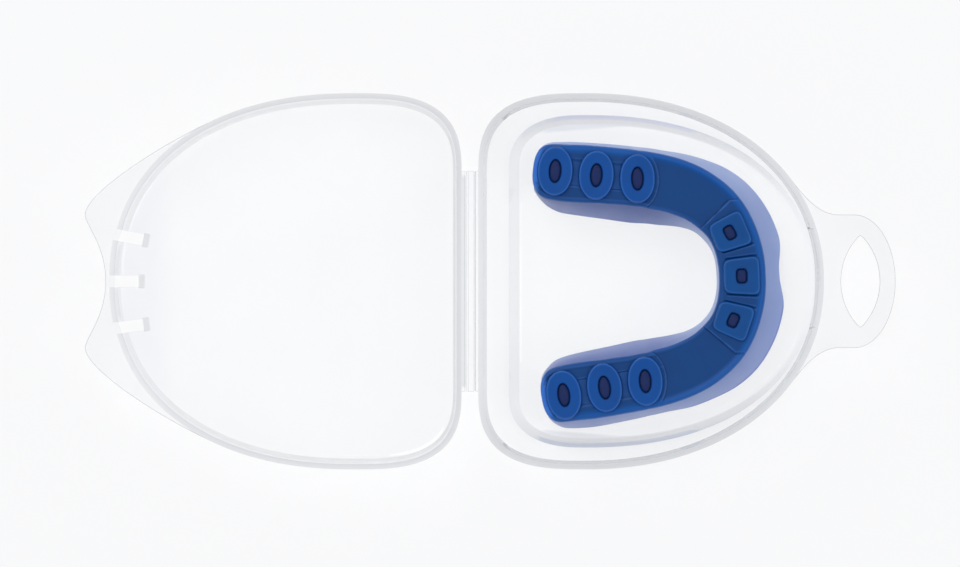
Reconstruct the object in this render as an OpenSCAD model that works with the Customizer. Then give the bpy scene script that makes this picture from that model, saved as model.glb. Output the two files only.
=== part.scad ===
// Mouthguard in an open clamshell case.
// The base holds the mouthguard and lies at +X, the lid lies at -X, and both stand open side up.
// Origin: middle of the base's underside. +X runs from the hinge to the hang tab, +Z is up.

/* [Mouthguard] */
// Width over the liner's outer walls at the arm ends
guard_w = 64.6; // [58:0.2:70]
// Length from the arm ends to the front wall's lower edge
guard_len = 54.3; // [49:0.1:60]
// Height from the walls' lower edges to the top of the bite pads
guard_h = 16.5; // [14:0.5:19]
// Length of each arm behind the round front
arm_len = 22.9; // [18:0.1:27]
// How far each arm end stands outside the straight line back from the round front
arm_spread = 3.1; // [0:0.1:4]
// How far the front wall flares out below the bite frame
front_flare = 3.4; // [1:0.1:5]
// How far the side walls flare out below the bite frame
side_flare = 0.5; // [0.4:0.1:2]
// How far the tongue-side walls flare in below the bite frame
tongue_flare = 3.2; // [0.5:0.1:4]
// Width of the bite frame over the molars
frame_w = 12.4; // [11.6:0.1:14]
// Width of the bite frame at the front
frame_front_w = 10.5; // [9.6:0.1:12]
// Thickness of the bite frame's plate
frame_t = 2.2; // [1.5:0.1:3]
// Thickness of the liner's walls
liner_t = 2.2; // [1.6:0.1:2.8]
// Thickness of the liner under the bite frame
liner_roof_t = 1.8; // [1.2:0.1:3]

/* [Bite pads] */
// Height of the pads above the plate
pad_rise = 1; // [0.5:0.1:1.6]
// Distance from an arm end to its first molar pad
molar_end = 4.9; // [4.6:0.1:6]
// Distance from one molar pad to the next
molar_pitch = 9.1; // [8.6:0.1:9.6]
// Length of a molar pad across the arm
molar_pad_l = 10.8; // [9:0.1:11.2]
// Width of a molar pad along the arm
molar_pad_w = 7.5; // [6:0.1:8.2]
// Length of the hole in a molar pad
molar_hole_l = 4.8; // [3.4:0.1:6]
// Width of the hole in a molar pad
molar_hole_w = 2.8; // [1.6:0.1:3.2]
// Sideways distance from one incisor pad to the next
incisor_pitch = 9.35; // [8.8:0.05:10]
// Length of an incisor pad across the arch
incisor_pad_l = 8.9; // [8.4:0.1:9.2]
// Width of an incisor pad along the arch
incisor_pad_w = 7.6; // [6.4:0.1:8.2]
// Corner radius of an incisor pad
incisor_pad_r = 2; // [1:0.1:3]
// Length of the hole in an incisor pad
incisor_hole_l = 3.4; // [2.8:0.1:4.4]
// Width of the hole in an incisor pad
incisor_hole_w = 2.7; // [1.6:0.1:2.8]
// How far the liner's plugs stay below the pads' tops
plug_recess = 1.4; // [0.6:0.1:2.4]

/* [Lie of the mouthguard in the base] */
// Turn of the mouthguard about the vertical
guard_turn = 2.2; // [-3:0.1:3]
// Sideways shift of the mouthguard
guard_shift = 0.3; // [-0.8:0.1:0.8]
// Gap under the mouthguard's walls
rest_gap = 0.1; // [0.05:0.05:0.5]
// Gap between the mouthguard's sides and the well floor's edge
side_gap = 2.6; // [1.8:0.1:6]
// Gap between the arm ends and the well floor's edge
rear_gap = 4.2; // [2.5:0.1:8]
// Gap between the front wall and the well floor's edge
front_gap = 6.7; // [1.5:0.1:9]

/* [Case shell] */
// Depth of each half, from its underside to its rim
half_h = 13; // [11.5:0.5:17]
// Thickness of the floor, the ledge and the well's walls
wall_t = 1.2; // [0.8:0.1:1.6]
// Thickness of the rim walls
rim_t = 1.1; // [0.8:0.1:1.4]
// Height of the upright band at the top of each rim
rim_band = 2; // [1.8:0.1:2.6]
// How far the base's rim wall leans in towards the ledge
rim_draft = 0.5; // [0:0.1:0.8]
// Depth of the ledge below the rim
ledge_depth = 6.5; // [5:0.1:7.5]
// Sideways run of the well's sloping wall
well_run = 2.1; // [1.5:0.1:4]
// Run of the well's steep wall at the front, under the rim's lip
front_run = 0.5; // [0.3:0.1:3]
// Width of the ledge and rim at the sides
side_ledge = 4.8; // [3.8:0.1:8]
// Width of the ledge and rim beside the hinge
rear_ledge = 6.7; // [4:0.1:10]
// Width of the ledge and rim at the front, where the well runs out to the rim
front_ledge = 2.2; // [2.2:0.1:6]
// Distance from the hinge side to the widest place of the outline
widest_at = 23.6; // [20:0.1:30]
// How far round the rear corners reach in from the sides
corner_w = 18.2; // [14:0.1:22]
// Exponent of the front's curve: 2 is an ellipse, more is squarer
front_curve = 2.17; // [2:0.01:2.4]
// Exponent of the well's own curve at the front
well_curve = 2.25; // [2.17:0.01:2.4]
// Exponent of the rear corners' curve
corner_curve = 2.9; // [2:0.1:3.2]

/* [Lid] */
// How much longer the lid is than the base at the front
lid_overhang = 1.3; // [1.1:0.1:2]
// How far the lid's side walls lean in towards the panel
lid_draft = 0.9; // [0:0.1:1.5]
// How far the lid's front wall leans in towards the panel
lid_front_draft = 1.35; // [0:0.05:1.6]
// How far the lid's hinge-side wall leans in towards the panel
lid_rear_draft = 0.5; // [0:0.1:1]
// Sideways distance from one slot beside the latch tongues to the next
slot_pitch = 11.2; // [9:0.1:13]
// Width of a slot
slot_w = 2.3; // [1.5:0.1:3]
// Reach of a slot inwards from the rim's outer face
slot_reach = 6; // [4.5:0.1:9]
// Wall left outside a slot at the rim
slot_skin = 0.8; // [0.5:0.1:1]
// Width of the rib at the inner end of a slot
slot_rib_w = 3.1; // [2:0.1:4]
// Thickness of the rib at the inner end of a slot
slot_rib_t = 1.5; // [0.8:0.1:2]
// Height of the rib above the panel
slot_rib_h = 5; // [2:0.5:8]

/* [Lip and latch] */
// Height of the locating lip above the base's rim
lip_h = 2; // [1.8:0.1:3]
// Thickness of the locating lip
lip_t = 0.75; // [0.5:0.05:1]
// Clearance between the lip and the closed lid's wall
lip_gap = 0.25; // [0.2:0.05:0.4]
// Half length of the latch bead on the lip
bead_half = 11; // [6:0.1:14]
// How far the latch bead stands out of the lip
bead_reach = 0.6; // [0.2:0.05:0.6]
// How far the catches stand in from the lid's wall
catch_reach = 0.65; // [0.2:0.05:0.65]
// Height of the bead and of the catches
bead_h = 0.6; // [0.3:0.05:0.7]
// Clearance between a catch and a bead, or a catch and the rim, with the lid closed
catch_gap = 0.15; // [0.1:0.05:0.3]

/* [Ear flange and hang tab] */
// Thickness of both plates
plate_t = 1; // [0.6:0.1:1.6]
// How far in from the case's side the ear flange leaves the lid's rim
ear_root_inset = 8.4; // [4:0.1:12]
// Sideways place of the ears' tips
ear_tip = 15; // [12:0.1:18]
// Reach of the ears beyond the lid's front
ear_reach = 5.7; // [4:0.1:9]
// Reach of the flange beyond the lid's front in the notch between the ears
ear_notch_reach = 0.8; // [0.3:0.1:3]
// Sideways place where the hang tab leaves the base's rim
tab_root = 22.5; // [18:0.1:24]
// Half width of the hang tab
tab_half_w = 14.8; // [12:0.1:17]
// Reach of the hang tab beyond the base's front
tab_reach = 16; // [15:0.1:22]
// Length of the hang tab's round end
tab_round = 9.1; // [7:0.1:11]
// Length of the hang hole, across the tab
hang_hole_l = 20.4; // [12:0.1:22]
// Width of the hang hole
hang_hole_w = 8.6; // [5:0.1:9]
// Material left between the hang hole and the tab's end
hang_hole_edge = 3.5; // [2:0.1:5]

/* [Hinge] */
// Length of the hinge
hinge_l = 49; // [30:0.5:52]
// Distance between the two flex lines
flex_pitch = 2; // [1.6:0.1:3]
// Width of the leaf between a rim and its flex line
leaf_w = 0.9; // [0.6:0.1:2]
// Thickness of the leaves and of the land between the flex lines
leaf_t = 0.9; // [0.6:0.1:1.1]
// Thickness of the film at a flex line
film_t = 0.3; // [0.2:0.05:0.4]
// Half width of the groove at a flex line
groove = 0.15; // [0.1:0.05:0.3]
// Gap between the two rims with the lid closed
close_gap = 0.3; // [0.2:0.05:0.6]

/* [Hidden] */

clear = [0.85, 0.9, 0.95, 0.45];
clear_thick = [0.7, 0.78, 0.85, 0.6];
frame_blue = [0.12, 0.2, 0.62];
pad_blue = [0.22, 0.32, 0.78];
liner_violet = [0.42, 0.4, 0.8, 0.8];
plug_purple = [0.16, 0.08, 0.35];

front_steps = 20;   // straight pieces in a quarter of a front curve
corner_steps = 12;  // straight pieces in a rear corner
bezier_steps = 12;  // straight pieces in one Bezier curve
arch_steps = 64;    // straight pieces along the mouthguard's arch
edge_r = 0.8;       // rounding where a wall meets a floor
film_end = 0.01;    // half the slit that keeps two halves of a film apart
past = 1;           // how far a cutting solid reaches past what it cuts

case_half_w = guard_w / 2 + side_gap + well_run + side_ledge;
case_len = rear_ledge + well_run + rear_gap + guard_len + front_gap + front_run + front_ledge;
rear_x = -case_len / 2;
front_x = case_len / 2;
widest_x = rear_x + widest_at;
ledge_z = half_h - ledge_depth;
band_z = half_h - rim_band;
plate_z = half_h - plate_t;
hinge_x = rear_x - leaf_w - flex_pitch / 2;
flex_z = half_h - flex_pitch / 2 + close_gap / 2;
lid_front_x = front_x + lid_overhang;

// An outline is [rear x, widest x, front x, half width, corner reach, exponent of its front].
base_outline = [rear_x, widest_x, front_x, case_half_w, corner_w, front_curve];
ledge_outline = [rear_x + rim_draft, widest_x, front_x - rim_draft,
                 case_half_w - rim_draft, corner_w, front_curve];
well_outline = [rear_x + rear_ledge, widest_x, front_x - front_ledge,
                case_half_w - side_ledge, corner_w - side_ledge, well_curve];
floor_outline = [rear_x + rear_ledge + well_run, widest_x, front_x - front_ledge - front_run,
                 case_half_w - side_ledge - well_run, corner_w - side_ledge - well_run, well_curve];
lid_outline = [rear_x, widest_x, lid_front_x, case_half_w, corner_w, front_curve];
panel_outline = [rear_x + lid_rear_draft, widest_x, lid_front_x - lid_front_draft,
                 case_half_w - lid_draft, corner_w - lid_draft, front_curve];

// ---------- outlines ----------

// One point of a quarter of a superellipse with half axes a and b, at 0 to 90 degrees.
function quarter(a, b, n, angle) = [a * pow(cos(angle), 2 / n), b * pow(sin(angle), 2 / n)];

// Half of an outline, from the front's middle round to the hinge side, grown outwards by g.
function half_outline(d, g) = concat(
    [for (i = [0 : front_steps])
        let (p = quarter(d[2] - d[1] + g, d[3] + g, d[5], 90 * i / front_steps))
        [d[1] + p[0], p[1]]],
    [for (i = [1 : corner_steps])
        let (p = quarter(d[1] - d[0] + g, d[4] + g, corner_curve, 90 - 90 * i / corner_steps))
        [d[1] - p[0], d[3] - d[4] + p[1]]]
);

// The whole outline, anticlockwise, grown outwards by g.
function outline(d, g = 0) =
    let (half = half_outline(d, g), n = len(half))
    concat(half, [for (i = [n - 1 : -1 : 1]) [half[i][0], -half[i][1]]]);

// The point of an outline's front curve at the sideways place y, and the direction it faces.
function front_point(d, y) =
    [d[1] + (d[2] - d[1]) * pow(1 - pow(abs(y) / d[3], d[5]), 1 / d[5]), y];
function front_facing(d, y) =
    let (u = (front_point(d, y)[0] - d[1]) / (d[2] - d[1]), v = abs(y) / d[3])
    sign(y) * atan2(pow(v, d[5] - 1) / d[3], pow(u, d[5] - 1) / (d[2] - d[1]));

// A cubic Bezier curve without its last point.
function bezier(a, b, c, d) = [for (i = [0 : bezier_steps - 1])
    let (t = i / bezier_steps, s = 1 - t)
    s * s * s * a + 3 * s * s * t * b + 3 * s * t * t * c + t * t * t * d];

// Half a plate's points and their mirror images, as one closed list.
function both_sides(half) =
    concat(half, [for (i = [len(half) - 1 : -1 : 0]) [half[i][0], -half[i][1]]]);

// ---------- solids from rings ----------

// A closed solid through rings of equally many points. Each ring is a list of 3-D points, seen
// anticlockwise from above, and the rings run up the outside. With loop the last ring joins the
// first, otherwise both ends are capped.
module through_rings(rings, loop = false) {
    n = len(rings[0]);
    m = len(rings);
    function at(r, i) = (r % m) * n + i % n;
    sides = [for (r = [0 : loop ? m - 1 : m - 2], i = [0 : n - 1])
        each [[at(r, i), at(r + 1, i), at(r + 1, i + 1)], [at(r, i), at(r + 1, i + 1), at(r, i + 1)]]];
    caps = loop ? [] : [[for (i = [0 : n - 1]) i], [for (i = [n - 1 : -1 : 0]) (m - 1) * n + i]];
    polyhedron(points = [for (ring = rings) each ring], faces = concat(sides, caps), convexity = 8);
}

// A ring of an outline grown by g, at height z.
function ring(z, d, g = 0) = [for (p = outline(d, g)) [p[0], p[1], z]];

// A plate between two heights with an outline and, if given, a hole.
module slab(z0, z1, d, g = 0) {
    translate([0, 0, z0])
        linear_extrude(z1 - z0)
            polygon(outline(d, g));
}

// The strip |y| from y0 to y1 at the front of the case, both sides.
module front_strips(y0, y1) {
    for (side = [-1, 1])
        translate([0, side > 0 ? y0 : -y1, 0])
            cube([lid_front_x + past, y1 - y0, 2 * half_h]);
}

// Children drawn as if over the base are turned over into the open lid's place.
module in_lid() {
    translate([2 * hinge_x, 0, 0])
        mirror([1, 0, 0])
            children();
}

// ---------- base ----------

module base_well() {
    color(clear)
        through_rings([
            ring(0, floor_outline, -edge_r),
            ring(0.25 * edge_r, floor_outline, -0.25 * edge_r),
            ring(edge_r, floor_outline, 0.25 * edge_r),
            ring(ledge_z - 1.5 * wall_t, well_outline, wall_t),
            ring(ledge_z, well_outline, wall_t),
            ring(ledge_z, well_outline, 0.4 * edge_r),
            ring(ledge_z - 0.4 * edge_r, well_outline, 0),
            ring(wall_t + edge_r, floor_outline, -0.1 * edge_r),
            ring(wall_t + 0.25 * edge_r, floor_outline, -0.6 * edge_r),
            ring(wall_t, floor_outline, -1.4 * edge_r)
        ]);
}

module base_ledge() {
    color(clear)
        difference() {
            slab(ledge_z - wall_t, ledge_z, ledge_outline);
            slab(ledge_z - wall_t - past, ledge_z + past, well_outline, wall_t);
        }
}

module base_rim() {
    color(clear_thick)
        through_rings([
            ring(ledge_z, ledge_outline),
            ring(band_z, base_outline),
            ring(half_h, base_outline),
            ring(half_h, base_outline, -rim_t),
            ring(band_z, base_outline, -rim_t),
            ring(ledge_z, ledge_outline, -rim_t)
        ], loop = true);
}

// The lip stands on a foot inside the rim, and stops short of the hinge side.
module base_lip() {
    outer = -rim_t - lip_gap;
    foot_z = band_z + 0.3;
    color(clear_thick)
        difference() {
            through_rings([
                ring(foot_z, base_outline, -rim_t),
                ring(half_h - lip_gap, base_outline, -rim_t),
                ring(half_h - lip_gap, base_outline, outer),
                ring(half_h + lip_h, base_outline, outer),
                ring(half_h + lip_h, base_outline, outer - lip_t),
                ring(foot_z, base_outline, outer - lip_t)
            ], loop = true);
            translate([rear_x, -case_half_w, 0])
                cube([rear_ledge, 2 * case_half_w, 2 * half_h]);
        }
}

module latch_bead() {
    inner = -rim_t - lip_gap;
    top = half_h + lip_h - catch_gap;
    color(clear_thick)
        intersection() {
            through_rings([
                ring(top - bead_h, base_outline, inner),
                ring(top - 0.6 * bead_h, base_outline, inner + bead_reach),
                ring(top - 0.4 * bead_h, base_outline, inner + bead_reach),
                ring(top, base_outline, inner)
            ], loop = true);
            front_strips(0, bead_half);
        }
}

// A lens-shaped hole between two arcs.
module hang_hole() {
    half_l = hang_hole_l / 2;
    half_w = hang_hole_w / 2;
    arc_r = (half_l * half_l + half_w * half_w) / hang_hole_w;
    translate([front_x + tab_reach - hang_hole_edge - half_w, 0, plate_z - past])
        intersection_for (side = [-1, 1])
            translate([side * (arc_r - half_w), 0, 0])
                cylinder(r = arc_r, h = plate_t + 2 * past, $fn = 128);
}

module hang_tab() {
    tip_x = front_x + tab_reach;
    root = front_point(base_outline, tab_root);
    along = front_facing(base_outline, tab_root) - 90;
    leave = 0.3 * tab_root * [cos(along), sin(along)];
    straight_x = (front_x + tip_x - tab_round) / 2;
    circle_like = 0.5523;
    half = concat(
        [[widest_x, tab_root]],
        bezier(root, root + leave, [front_x, tab_half_w], [straight_x, tab_half_w]),
        bezier([tip_x - tab_round, tab_half_w],
               [tip_x - tab_round * (1 - circle_like), tab_half_w],
               [tip_x, tab_half_w * circle_like], [tip_x, 0])
    );
    color(clear)
        difference() {
            translate([0, 0, plate_z])
                linear_extrude(plate_t)
                    polygon(both_sides(half));
            slab(plate_z - past, half_h + past, base_outline);
            hang_hole();
        }
}

// ---------- hinge ----------

// A leaf beside its flex line, with half of the film that bends there.
module hinge_leaf() {
    flex_x = hinge_x + flex_pitch / 2;
    color(clear_thick)
        union() {
            translate([flex_x + groove, -hinge_l / 2, flex_z - leaf_t])
                cube([leaf_w - groove, hinge_l, leaf_t]);
            translate([flex_x + film_end, -hinge_l / 2, flex_z - film_t])
                cube([leaf_w / 2, hinge_l, film_t]);
        }
}

module base_hinge_leaf() {
    hinge_leaf();
}

module lid_hinge_leaf() {
    in_lid() hinge_leaf();
}

module hinge_land() {
    land_w = flex_pitch - 2 * groove;
    film_w = flex_pitch - 2 * film_end;
    color(clear_thick)
        union() {
            translate([hinge_x - land_w / 2, -hinge_l / 2, flex_z - leaf_t])
                cube([land_w, hinge_l, leaf_t]);
            translate([hinge_x - film_w / 2, -hinge_l / 2, flex_z - film_t])
                cube([film_w, hinge_l, film_t]);
        }
}

// ---------- lid ----------

slot_places = [-slot_pitch, 0, slot_pitch];

// Children are placed at each slot, with -X pointing inwards from the rim's outer face.
module at_slots() {
    for (y = slot_places)
        translate(front_point(lid_outline, y))
            rotate([0, 0, front_facing(lid_outline, y)])
                children();
}

module slots() {
    at_slots()
        translate([-slot_reach, -slot_w / 2, -past])
            cube([slot_reach - slot_skin, slot_w, past + plate_z - 0.5 * plate_t]);
}

module lid_panel() {
    in_lid() color(clear)
        difference() {
            through_rings([
                ring(0, panel_outline, -edge_r),
                ring(0.25 * edge_r, panel_outline, -0.25 * edge_r),
                ring(edge_r, panel_outline),
                ring(wall_t, panel_outline)
            ]);
            slots();
        }
}

module lid_skirt() {
    in_lid() color(clear_thick)
        difference() {
            through_rings([
                ring(wall_t, panel_outline),
                ring(band_z, lid_outline),
                ring(half_h, lid_outline),
                ring(half_h, lid_outline, -rim_t),
                ring(band_z, lid_outline, -rim_t),
                ring(wall_t, panel_outline, -rim_t)
            ], loop = true);
            slots();
        }
}

module lid_ear_flange() {
    tip_x = lid_front_x + ear_reach;
    notch_x = lid_front_x + ear_notch_reach;
    ear_root = case_half_w - ear_root_inset;
    root = front_point(lid_outline, ear_root);
    along = front_facing(lid_outline, ear_root) - 90;
    leave = 0.75 * (tip_x - root[0]) * [cos(along), sin(along)];
    half = concat(
        [[widest_x, ear_root]],
        bezier(root, root + leave, [tip_x, 1.3 * ear_tip], [tip_x, ear_tip]),
        bezier([tip_x, ear_tip], [tip_x, 0.8 * ear_tip], [notch_x, 0.4 * ear_tip], [notch_x, 0])
    );
    in_lid() color(clear)
        difference() {
            translate([0, 0, plate_z])
                linear_extrude(plate_t)
                    polygon(both_sides(half));
            slab(plate_z - past, half_h + past, lid_outline);
        }
}

// The catches sit between the slots, and pass outside the bead as the lid closes.
module lid_latch_catches() {
    top = half_h - catch_gap;
    in_lid() color(clear_thick)
        intersection() {
            through_rings([
                ring(top - bead_h, lid_outline, -rim_t),
                ring(top, lid_outline, -rim_t),
                ring(top - 0.4 * bead_h, lid_outline, -rim_t - catch_reach),
                ring(top - 0.6 * bead_h, lid_outline, -rim_t - catch_reach)
            ], loop = true);
            front_strips(slot_w / 2, slot_pitch - slot_w);
        }
}

module slot_end_ribs() {
    in_lid() color(clear_thick)
        at_slots()
            translate([-slot_reach - slot_rib_t, -slot_rib_w / 2, wall_t])
                cube([slot_rib_t, slot_rib_w, slot_rib_h]);
}

// ---------- mouthguard ----------

frame_z = guard_h - pad_rise - frame_t;
roof_z = frame_z - liner_roof_t;
arch_a = guard_len - arm_len - front_flare - frame_front_w / 2;
arch_b = guard_w / 2 - side_flare - arm_spread - frame_w / 2;
arm_turn = 58;      // the arch's angle runs on from 90 by this much along an arm
arm_bend = 1.1;     // exponent of an arm's outward curve
arm_end_r = 5;      // length of the rounding at an arm end
arm_end_curve = 2.6; // exponent of that rounding

module in_guard() {
    translate([rear_x + rear_ledge + well_run + rear_gap + arm_len, guard_shift, wall_t + rest_gap])
        rotate([0, 0, guard_turn])
            children();
}

// The middle line of an arm at the place u, where 0 is the start of the round front.
function arm_y(u) = u <= 0
    ? arch_b + arm_spread * pow(-u / arm_len, arm_bend)
    : arch_b * sqrt(1 - pow(u / arch_a, 2));

// The arch's middle line: an ellipse up to 90 degrees each way, then the arms.
function arch(q) = abs(q) <= 90
    ? [arch_a * cos(q), arch_b * sin(q)]
    : let (u = -arm_len * (abs(q) - 90) / arm_turn) [u, sign(q) * arm_y(u)];

function arch_out(q) =
    let (d = arch(q + 0.5) - arch(q - 0.5))
    [d[1], -d[0]] / norm(d);

// 1 along the arch, falling to 0 at the very end of an arm.
function arm_end(q) =
    let (left = arm_len * (1 - (abs(q) - 90) / arm_turn))
    abs(q) <= 90 || left >= arm_end_r ? 1
    : pow(max(0, 1 - pow(1 - left / arm_end_r, arm_end_curve)), 1 / arm_end_curve);

// 0 at the middle of the front, 1 along the arms.
function arm_share(q) = abs(q) <= 90 ? pow(sin(q), 2) : 1;

function frame_half(q) = (frame_front_w + (frame_w - frame_front_w) * arm_share(q)) / 2;

arch_angles = [for (i = [0 : arch_steps]) (90 + arm_turn) * (2 * i / arch_steps - 1)];

// A point beside the arch, off by n outwards.
function beside(q, n) = arch(q) + n * arch_out(q);

frame_outline = concat(
    [for (q = arch_angles) beside(q, frame_half(q) * arm_end(q))],
    [for (i = [arch_steps - 1 : -1 : 1])
        let (q = arch_angles[i]) beside(q, -frame_half(q) * arm_end(q))]
);

// A flat oval: two round ends and a straight middle, along Y.
module oval(l, w) {
    union() {
        square([w, l - w], center = true);
        for (side = [-1, 1])
            translate([0, side * (l - w) / 2])
                circle(d = w, $fn = 48);
    }
}

module round_square(x, y, r) {
    union() {
        square([x - 2 * r, y], center = true);
        square([x, y - 2 * r], center = true);
        for (sx = [-1, 1], sy = [-1, 1])
            translate([sx * (x / 2 - r), sy * (y / 2 - r)])
                circle(r = r, $fn = 32);
    }
}

// Children are placed at each molar pad of one arm (side 1 or -1), with Y across the arm.
module at_molars(side) {
    for (i = [0 : 2]) {
        u = molar_end + i * molar_pitch - arm_len;
        slope = (arm_y(u + 0.5) - arm_y(u - 0.5));
        translate([u, side * arm_y(u)])
            rotate([0, 0, side * atan(slope)])
                children();
    }
}

// Children are placed at each incisor pad, with Y across the arch.
module at_incisors() {
    for (i = [-1 : 1]) {
        q = asin(i * incisor_pitch / arch_b);
        translate(arch(q))
            rotate([0, 0, atan2(arch_out(q)[1], arch_out(q)[0]) - 90])
                children();
    }
}

module pad_holes() {
    for (side = [-1, 1])
        at_molars(side) oval(molar_hole_l, molar_hole_w);
    at_incisors() oval(incisor_hole_l, incisor_hole_w);
}

module bite_frame() {
    in_guard() color(frame_blue)
        translate([0, 0, frame_z])
            linear_extrude(frame_t)
                difference() {
                    polygon(frame_outline);
                    pad_holes();
                }
}

module molar_pads(side) {
    in_guard() color(pad_blue)
        translate([0, 0, frame_z + frame_t])
            linear_extrude(pad_rise)
                at_molars(side)
                    difference() {
                        oval(molar_pad_l, molar_pad_w);
                        oval(molar_hole_l, molar_hole_w);
                    }
}

module molar_pads_left() {
    molar_pads(1);
}

module molar_pads_right() {
    molar_pads(-1);
}

module incisor_pads() {
    in_guard() color(pad_blue)
        translate([0, 0, frame_z + frame_t])
            linear_extrude(pad_rise)
                at_incisors()
                    difference() {
                        round_square(incisor_pad_w, incisor_pad_l, incisor_pad_r);
                        oval(incisor_hole_l, incisor_hole_w);
                    }
}

// The plugs stand on the liner and fill the pads' holes from below.
module liner_plugs() {
    in_guard() color(plug_purple)
        translate([0, 0, frame_z])
            linear_extrude(frame_t + pad_rise - plug_recess)
                pad_holes();
}

// One section of the liner's trough, open downwards, across the arch at q.
function liner_section(q) =
    let (
        half = frame_half(q) * (0.75 + 0.25 * arm_end(q)),
        out = half + side_flare + (front_flare - side_flare) * (1 - arm_share(q)),
        back = -half - tongue_flare * arm_share(q),
        roof = half - liner_t
    )
    [for (p = [
        [out, 0], [half, frame_z], [-half, frame_z], [back, 0],
        [back + liner_t, 0], [-roof, roof_z], [roof, roof_z], [out - liner_t, 0]
    ]) let (b = beside(q, p[0])) [b[0], b[1], p[1]]];

module fit_liner() {
    in_guard() color(liner_violet)
        through_rings([for (q = arch_angles) liner_section(q)]);
}

base_well();
base_ledge();
base_rim();
base_lip();
latch_bead();
hang_tab();
base_hinge_leaf();
hinge_land();
lid_hinge_leaf();
lid_panel();
lid_skirt();
lid_ear_flange();
lid_latch_catches();
slot_end_ribs();
fit_liner();
liner_plugs();
bite_frame();
molar_pads_left();
molar_pads_right();
incisor_pads();
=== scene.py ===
# %% [markdown]
# # A mouthguard in its open case
#
# The object is a boxer's mouthguard that lies in a clear hinged case. The case is one moulding of
# clear polypropylene: a base with a well, a lid, and a strip between them that bends along two thin
# lines. The mouthguard has three materials: a blue rubber bite frame with pads on it, a soft violet
# liner under it that takes the print of the teeth, and plugs of that liner in the pads' holes.
#
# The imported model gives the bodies, the joints and every size. This script keeps those sizes and
# builds the surfaces again in finer steps, because a clear wall shows every facet and every corner
# that isn't rounded.

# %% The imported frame
import math

import bmesh
import bpy
from mathutils import Matrix, Vector


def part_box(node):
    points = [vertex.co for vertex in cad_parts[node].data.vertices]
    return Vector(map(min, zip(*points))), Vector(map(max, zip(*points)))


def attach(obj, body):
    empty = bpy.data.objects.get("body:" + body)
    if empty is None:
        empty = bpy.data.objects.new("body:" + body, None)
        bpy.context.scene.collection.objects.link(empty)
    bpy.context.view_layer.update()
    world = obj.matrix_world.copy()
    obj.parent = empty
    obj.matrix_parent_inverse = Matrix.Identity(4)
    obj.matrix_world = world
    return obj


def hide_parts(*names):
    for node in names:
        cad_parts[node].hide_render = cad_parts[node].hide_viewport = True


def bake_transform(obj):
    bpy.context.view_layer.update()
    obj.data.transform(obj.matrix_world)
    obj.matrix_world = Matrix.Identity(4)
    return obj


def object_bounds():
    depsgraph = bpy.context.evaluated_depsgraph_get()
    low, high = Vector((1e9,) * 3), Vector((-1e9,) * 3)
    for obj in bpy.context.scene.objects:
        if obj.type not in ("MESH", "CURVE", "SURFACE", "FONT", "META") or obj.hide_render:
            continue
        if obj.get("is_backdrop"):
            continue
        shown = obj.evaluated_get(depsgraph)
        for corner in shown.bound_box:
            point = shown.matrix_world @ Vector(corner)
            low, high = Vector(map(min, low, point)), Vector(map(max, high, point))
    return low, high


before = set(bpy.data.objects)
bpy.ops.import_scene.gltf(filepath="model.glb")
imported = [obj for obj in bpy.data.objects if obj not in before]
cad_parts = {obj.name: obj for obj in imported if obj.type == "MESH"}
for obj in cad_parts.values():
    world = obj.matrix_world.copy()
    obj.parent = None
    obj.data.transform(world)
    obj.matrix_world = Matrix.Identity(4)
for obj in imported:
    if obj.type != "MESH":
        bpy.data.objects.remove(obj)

cad_low, cad_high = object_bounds()
bpy.context.scene.view_settings.view_transform = "Standard"
print("size in mm:", [round(side * 1000, 1) for side in cad_high - cad_low])

# %% [markdown]
# ## Units and places
#
# Blender's unit here is the metre, and a case like this is easier to think of in millimetres. So every
# shape is worked out in millimetres and multiplied by `MM` once, when its mesh is finished. What a box
# can't tell, such as a wall's thickness, is a named value.

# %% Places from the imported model
MM = 0.001


def low_mm(node):
    """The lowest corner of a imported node, in millimetres."""
    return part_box(node)[0] / MM


def high_mm(node):
    """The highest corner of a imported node, in millimetres."""
    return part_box(node)[1] / MM


land_low, land_high = low_mm("hinge_land"), high_mm("hinge_land")
leaf_low, leaf_high = low_mm("base_hinge_leaf"), high_mm("base_hinge_leaf")

RIM_Z = high_mm("base_rim").z
LEDGE_Z = high_mm("base_ledge").z
LIP_Z = high_mm("base_lip").z
REAR_X = low_mm("base_rim").x
FRONT_X = high_mm("base_rim").x
HALF_W = high_mm("base_rim").y
WALL = high_mm("lid_panel").z
BAND_Z = RIM_Z - 2.0
HINGE_X = (land_low.x + land_high.x) / 2
print("rim height", round(RIM_Z, 2), "ledge", round(LEDGE_Z, 2), "lip", round(LIP_Z, 2))
print("hinge at x", round(HINGE_X, 2))

# %% [markdown]
# ## The case's outline
#
# Seen from above, each half of the case is a rounded D: a front that is nearly half an ellipse, two
# tighter corners at the rear, and a straight hinge side. A circle or a spline could be pushed into that
# shape by hand. A superellipse does it with one formula: an exponent of 2 is an ellipse, and a larger
# one is squarer. A wall is the same outline, grown or shrunk. Only the well has an outline of its own,
# which leaves a wide ledge beside the hinge and runs out to the rim at the front.

# %% Outline of a case half
BASE_CURVE = 2.14
LID_CURVE = 2.25
WELL_CURVE = 2.25
CORNER_CURVE = 2.9
WELL_CORNER_CURVE = 2.5
FRONT_STEPS = 48
CORNER_STEPS = 22
WIDEST_X = REAR_X + 23.6
CORNER_REACH = 18.2


def quarter(a, b, exponent, angle):
    """A point of a quarter of a superellipse with half axes a and b."""
    return a * math.cos(angle) ** (2 / exponent), b * math.sin(angle) ** (2 / exponent)


def outline(rear, front, inset, curve, corner=None, corner_curve=CORNER_CURVE):
    """Sizes of an outline: rear, front, half width, corners' reach, exponents of front and corners."""
    return rear, front, HALF_W - inset, corner or CORNER_REACH - inset, curve, corner_curve


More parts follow.
